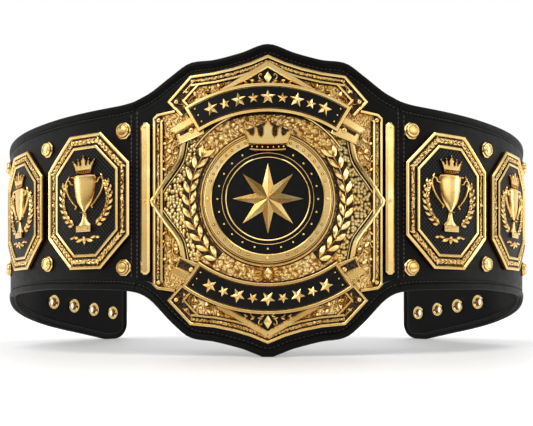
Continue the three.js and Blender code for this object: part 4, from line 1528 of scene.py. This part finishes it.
def piece(name, relief, material, replaces=(), smoothing=SOFT):
    mesh = bpy.data.meshes.new(name)
    mesh.from_pydata([world(a, h, o) for a, h, o, _ in relief.points], [], relief.faces)
    uv = mesh.uv_layers.new(name="strap")
    for loop in mesh.loops:
        along, height, _, _ = relief.points[loop.vertex_index]
        uv.data[loop.index].uv = (along / UV_UNIT, height / UV_UNIT)
    tone = mesh.color_attributes.new("tone", "FLOAT_COLOR", "POINT")
    for i, (_, _, _, level) in enumerate(relief.points):
        tone.data[i].color = (level, level, level, 1)
    mesh.shade_smooth()
    mesh.set_sharp_from_angle(angle=smoothing)
    mesh.materials.append(MATERIALS[material])
    obj = bpy.data.objects.new(name, mesh)
    bpy.context.scene.collection.objects.link(obj)
    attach(obj, "root")
    if replaces:
        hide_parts(*replaces)
    return obj


def pair(name, relief, material, node=None, smoothing=SOFT):
    """The piece on both halves of the belt."""
    piece(f"dressed_right_{name}", relief, material, [f"right_{node}"] if node else (), smoothing)
    piece(f"dressed_left_{name}", relief.mirrored(), material, [f"left_{node}"] if node else (), smoothing)


def make_leather():
    end = SEAM - SEAM_GAP
    edges = [edge_line(-end, end, 1), edge_line(end, -end, 2)]
    field = edge_line(-end, end, 1, BORDER_WIDTH) + edge_line(end, -end, 2, BORDER_WIDTH)
    leather, thread = outer_layer(edges, field)
    seam_stitches(thread)
    half = Relief()
    seam_stitches(half)
    thread.add_relief(half.mirrored())
    piece("dressed_centre_panel", leather, "leather", ["centre_panel"])
    leather, lining_thread = lining_layer(edges, field)
    thread.add_relief(lining_thread)
    piece("dressed_centre_lining", leather, "lining", ["centre_lining"])
    piece("centre_stitching", thread, "thread")
    holes = [circle(*place, PUNCH_RADIUS, 32) for place in EYELETS]
    edge = strap_edge()
    leather, thread = outer_layer([edge], strap_edge(BORDER_WIDTH), holes)
    pair("strap", leather, "leather", "strap")
    leather, lining_thread = lining_layer([edge], strap_edge(BORDER_WIDTH), holes)
    thread.add_relief(lining_thread)
    pair("strap_lining", leather, "lining", "strap_lining")
    pair("strap_stitching", thread, "thread")


def make_main_plate():
    base = flat_field(plate_outline(), FLOOR)
    piece("dressed_plate_floor", base, "engraved", ["main_plate"])
    pebbles = flat_field(field_between(66.5, beside(kite_line(), -3)), FLOOR + 0.08)
    pebbles.add_mirrored()
    piece("plate_pebbles", pebbles, "pebbled")
    piece("plate_hammered", hammered_fields(), "hammered")
    piece("plate_grounds", plate_grounds(), "ground")
    piece("plate_rails", plate_rails(), "gold")
    piece("plate_planks", plate_planks(), "dimmer")
    piece("plate_kites", kite_frames(), "gold")
    piece("plate_foliage", plate_ornament(), "gold")
    arch = Relief()
    sweep(arch, on_plate(ogee_line()), ridge(1.6, FLOOR - 0.1, FLOOR + 0.7, FLOOR + 1.5))
    piece("plate_arch", arch, "gold")
    piece("plate_beads", plate_beads(), "gold")
    piece("plate_screw_wells", screw_wells(), "ground")
    for name in BANNERS:
        piece(f"dressed_{name}_gable", gable_field(name), "enamel", [f"{name}_gable_enamel"])
    piece("gable_ornament", gable_ornament(), "bright")


def make_banners():
    for name in BANNERS:
        piece(f"dressed_{name}_banner", banner_frame(name), "gold", [f"{name}_banner"])
        field = flat_field(banner_outline(name, 2.4), BANNER_FRONT + 0.4)
        piece(f"dressed_{name}_banner_field", field, "enamel", [f"{name}_banner_enamel"])
        piece(f"{name}_banner_stars", banner_ornament(name), "gold")
        piece(f"{name}_banner_tails", banner_tails(name), "gold")
        piece(f"{name}_tail_grounds", tail_grounds(name), "ground")


def make_centre():
    disc = flat_field(circle(*centre_height(), 54.2, 96), DISC_FRONT)
    piece("dressed_centre_disc", disc, "enamel", ["centre_disc"])
    piece("dressed_centre_bezel", bezel_ring(), "gold", ["centre_bezel"], CRISP)
    piece("bezel_wells", bezel_wells(), "ground")
    piece("bezel_beads", bezel_beads(), "gold")
    piece("dressed_centre_star", centre_star(), "gold", ["centre_star"])
    top = Relief()
    crown(top, 1.0, (0, PLATE_HEIGHT + 45.6), BEZEL["front"] + 0.2, 10)
    piece("dressed_crown", top, "gold", ["crown"])
    piece("crown_shadow", crown_shadow(), "ground")
    pair("laurel", laurel_branch(), "gold", "laurel")
    pair("laurel_ground", laurel_ground(), "ground")


def make_side_plates():
    for name in SIDE_PLATES:
        pair(f"{name}_side_plate", side_frame(name), "gold", f"{name}_side_plate", CRISP)
        pair(f"{name}_side_planks", side_planks(name), "dimmer")
        pair(f"{name}_side_foliage", side_ornament(name), "gold")
        ground = flat_field(side_outline(name, 3), SIDE_FLOOR, [side_outline(name, 13.5)])
        pair(f"{name}_side_ground", ground, "ground")
        field = flat_field(side_outline(name, 14.5), SIDE_FIELD)
        pair(f"{name}_side_field", field, "hatched", f"{name}_side_enamel")
        pair(f"{name}_trophy", trophy(name), "bright", f"{name}_trophy")


def make_fastenings():
    pair("bar", side_bar(), "gold", "bar", CRISP)
    for name in STUD_PAIRS:
        for level, sign in (("upper", 1), ("lower", -1)):
            pair(f"{name}_{level}_stud", stud(name, sign), "gold", f"{name}_{level}_stud")
    for i in range(len(EYELETS)):
        pair(f"eyelet_{i + 1}", eyelet(i), "gold", f"eyelet_{i + 1}")


# Stage

FLOOR_REACH = 12.0
FLOOR_FRONT = -0.62
# The floor glows from a first to a last distance from the origin, m.
FLOOR_GLOW = {"From Min": 0.24, "From Max": 0.7, "To Min": 0.0, "To Max": 0.5}


def make_floor():
    near = [(-FLOOR_REACH, FLOOR_FRONT, 0), (FLOOR_REACH, FLOOR_FRONT, 0)]
    corners = near + [(FLOOR_REACH, FLOOR_REACH, 0), (-FLOOR_REACH, FLOOR_REACH, 0)]
    mesh = bpy.data.meshes.new("floor")
    mesh.from_pydata(corners, [], [(0, 1, 2, 3)])
    material, nodes, links, shader = new_material("white_floor", (0.9, 0.9, 0.9), 0.6)
    shader.inputs["Emission Color"].default_value = (1, 1, 1, 1)
    place = nodes.new("ShaderNodeNewGeometry")
    length = nodes.new("ShaderNodeVectorMath")
    length.operation = "LENGTH"
    links.new(place.outputs["Position"], length.inputs[0])
    glow = nodes.new("ShaderNodeMapRange")
    for socket, value in FLOOR_GLOW.items():
        glow.inputs[socket].default_value = value
    links.new(length.outputs["Value"], glow.inputs["Value"])
    links.new(glow.outputs[0], shader.inputs["Emission Strength"])
    mesh.materials.append(material)
    floor = bpy.data.objects.new("floor", mesh)
    bpy.context.scene.collection.objects.link(floor)


# The room in front of the belt, from its floor to its ceiling: place, colour.
ROOM = (
    (0.2, (0.04, 0.03, 0.018)),
    (0.32, (0.24, 0.18, 0.11)),
    (0.43, (0.75, 0.7, 0.64)),
    (0.53, (0.9, 0.9, 0.9)),
    (0.63, (0.3, 0.3, 0.3)),
    (0.75, (0.08, 0.08, 0.08)),
    (0.93, (0.8, 0.8, 0.8)),
)


def make_world():
    """White behind the belt, and a dim room with a bright ceiling in front of it for the gold to reflect."""
    scene = bpy.context.scene
    scene.world = bpy.data.worlds.new("studio")
    scene.world.use_nodes = True
    nodes = scene.world.node_tree.nodes
    links = scene.world.node_tree.links
    coordinates = nodes.new("ShaderNodeTexCoord")
    parts = nodes.new("ShaderNodeSeparateXYZ")
    links.new(coordinates.outputs["Generated"], parts.inputs[0])
    behind = nodes.new("ShaderNodeMapRange")
    behind.inputs["From Min"].default_value = 0.1
    behind.inputs["From Max"].default_value = 0.5
    links.new(parts.outputs["Y"], behind.inputs["Value"])
    rise = nodes.new("ShaderNodeMapRange")
    rise.inputs["From Min"].default_value = -0.5
    links.new(parts.outputs["Z"], rise.inputs["Value"])
    room = ramp(nodes, links, rise.outputs[0], ROOM)
    sky = mix_colour(nodes, links, behind.outputs[0], room, (1.0, 1.0, 1.0))
    links.new(sky, nodes["Background"].inputs["Color"])


def area_light(name, place, target, width, height, energy):
    data = bpy.data.lights.new(name, "AREA")
    data.shape = "RECTANGLE"
    data.size = width
    data.size_y = height
    data.energy = energy
    light = bpy.data.objects.new(name, data)
    light.location = place
    light.rotation_euler = (Vector(target) - Vector(place)).to_track_quat("-Z", "Y").to_euler()
    bpy.context.scene.collection.objects.link(light)


def make_lights():
    middle = (0, -0.15, 0.15)
    area_light("key", (-1.1, -1.7, 1.5), middle, 1.1, 1.1, 16)
    area_light("fill", (1.5, -1.5, 0.9), middle, 1.3, 1.5, 5)
    area_light("top", (0, -0.7, 2.0), middle, 2.2, 0.6, 9)
    area_light("left_strip", (-1.8, -0.2, 0.6), middle, 0.25, 1.2, 4)
    area_light("right_strip", (1.8, -0.2, 0.6), middle, 0.25, 1.2, 4)


def make_camera():
    data = bpy.data.cameras.new("photo_camera")
    data.sensor_width = SENSOR
    data.lens = SENSOR * FOCAL_SHARE
    data.shift_x = SHIFT_X
    data.shift_y = SHIFT_Y
    data.clip_start = 0.01
    camera = bpy.data.objects.new("photo_camera", data)
    camera.location = (CAMERA_X * MM, (DEPTH - CAMERA_DISTANCE) * MM, CAMERA_HEIGHT * MM)
    camera.rotation_euler = (math.radians(90), 0, 0)
    bpy.context.scene.collection.objects.link(camera)
    bpy.context.scene.camera = camera
    bpy.context.scene.view_settings.view_transform = "Standard"


make_camera()
make_leather()
make_main_plate()
make_banners()
make_centre()
make_side_plates()
make_fastenings()
make_floor()
make_world()
make_lights()
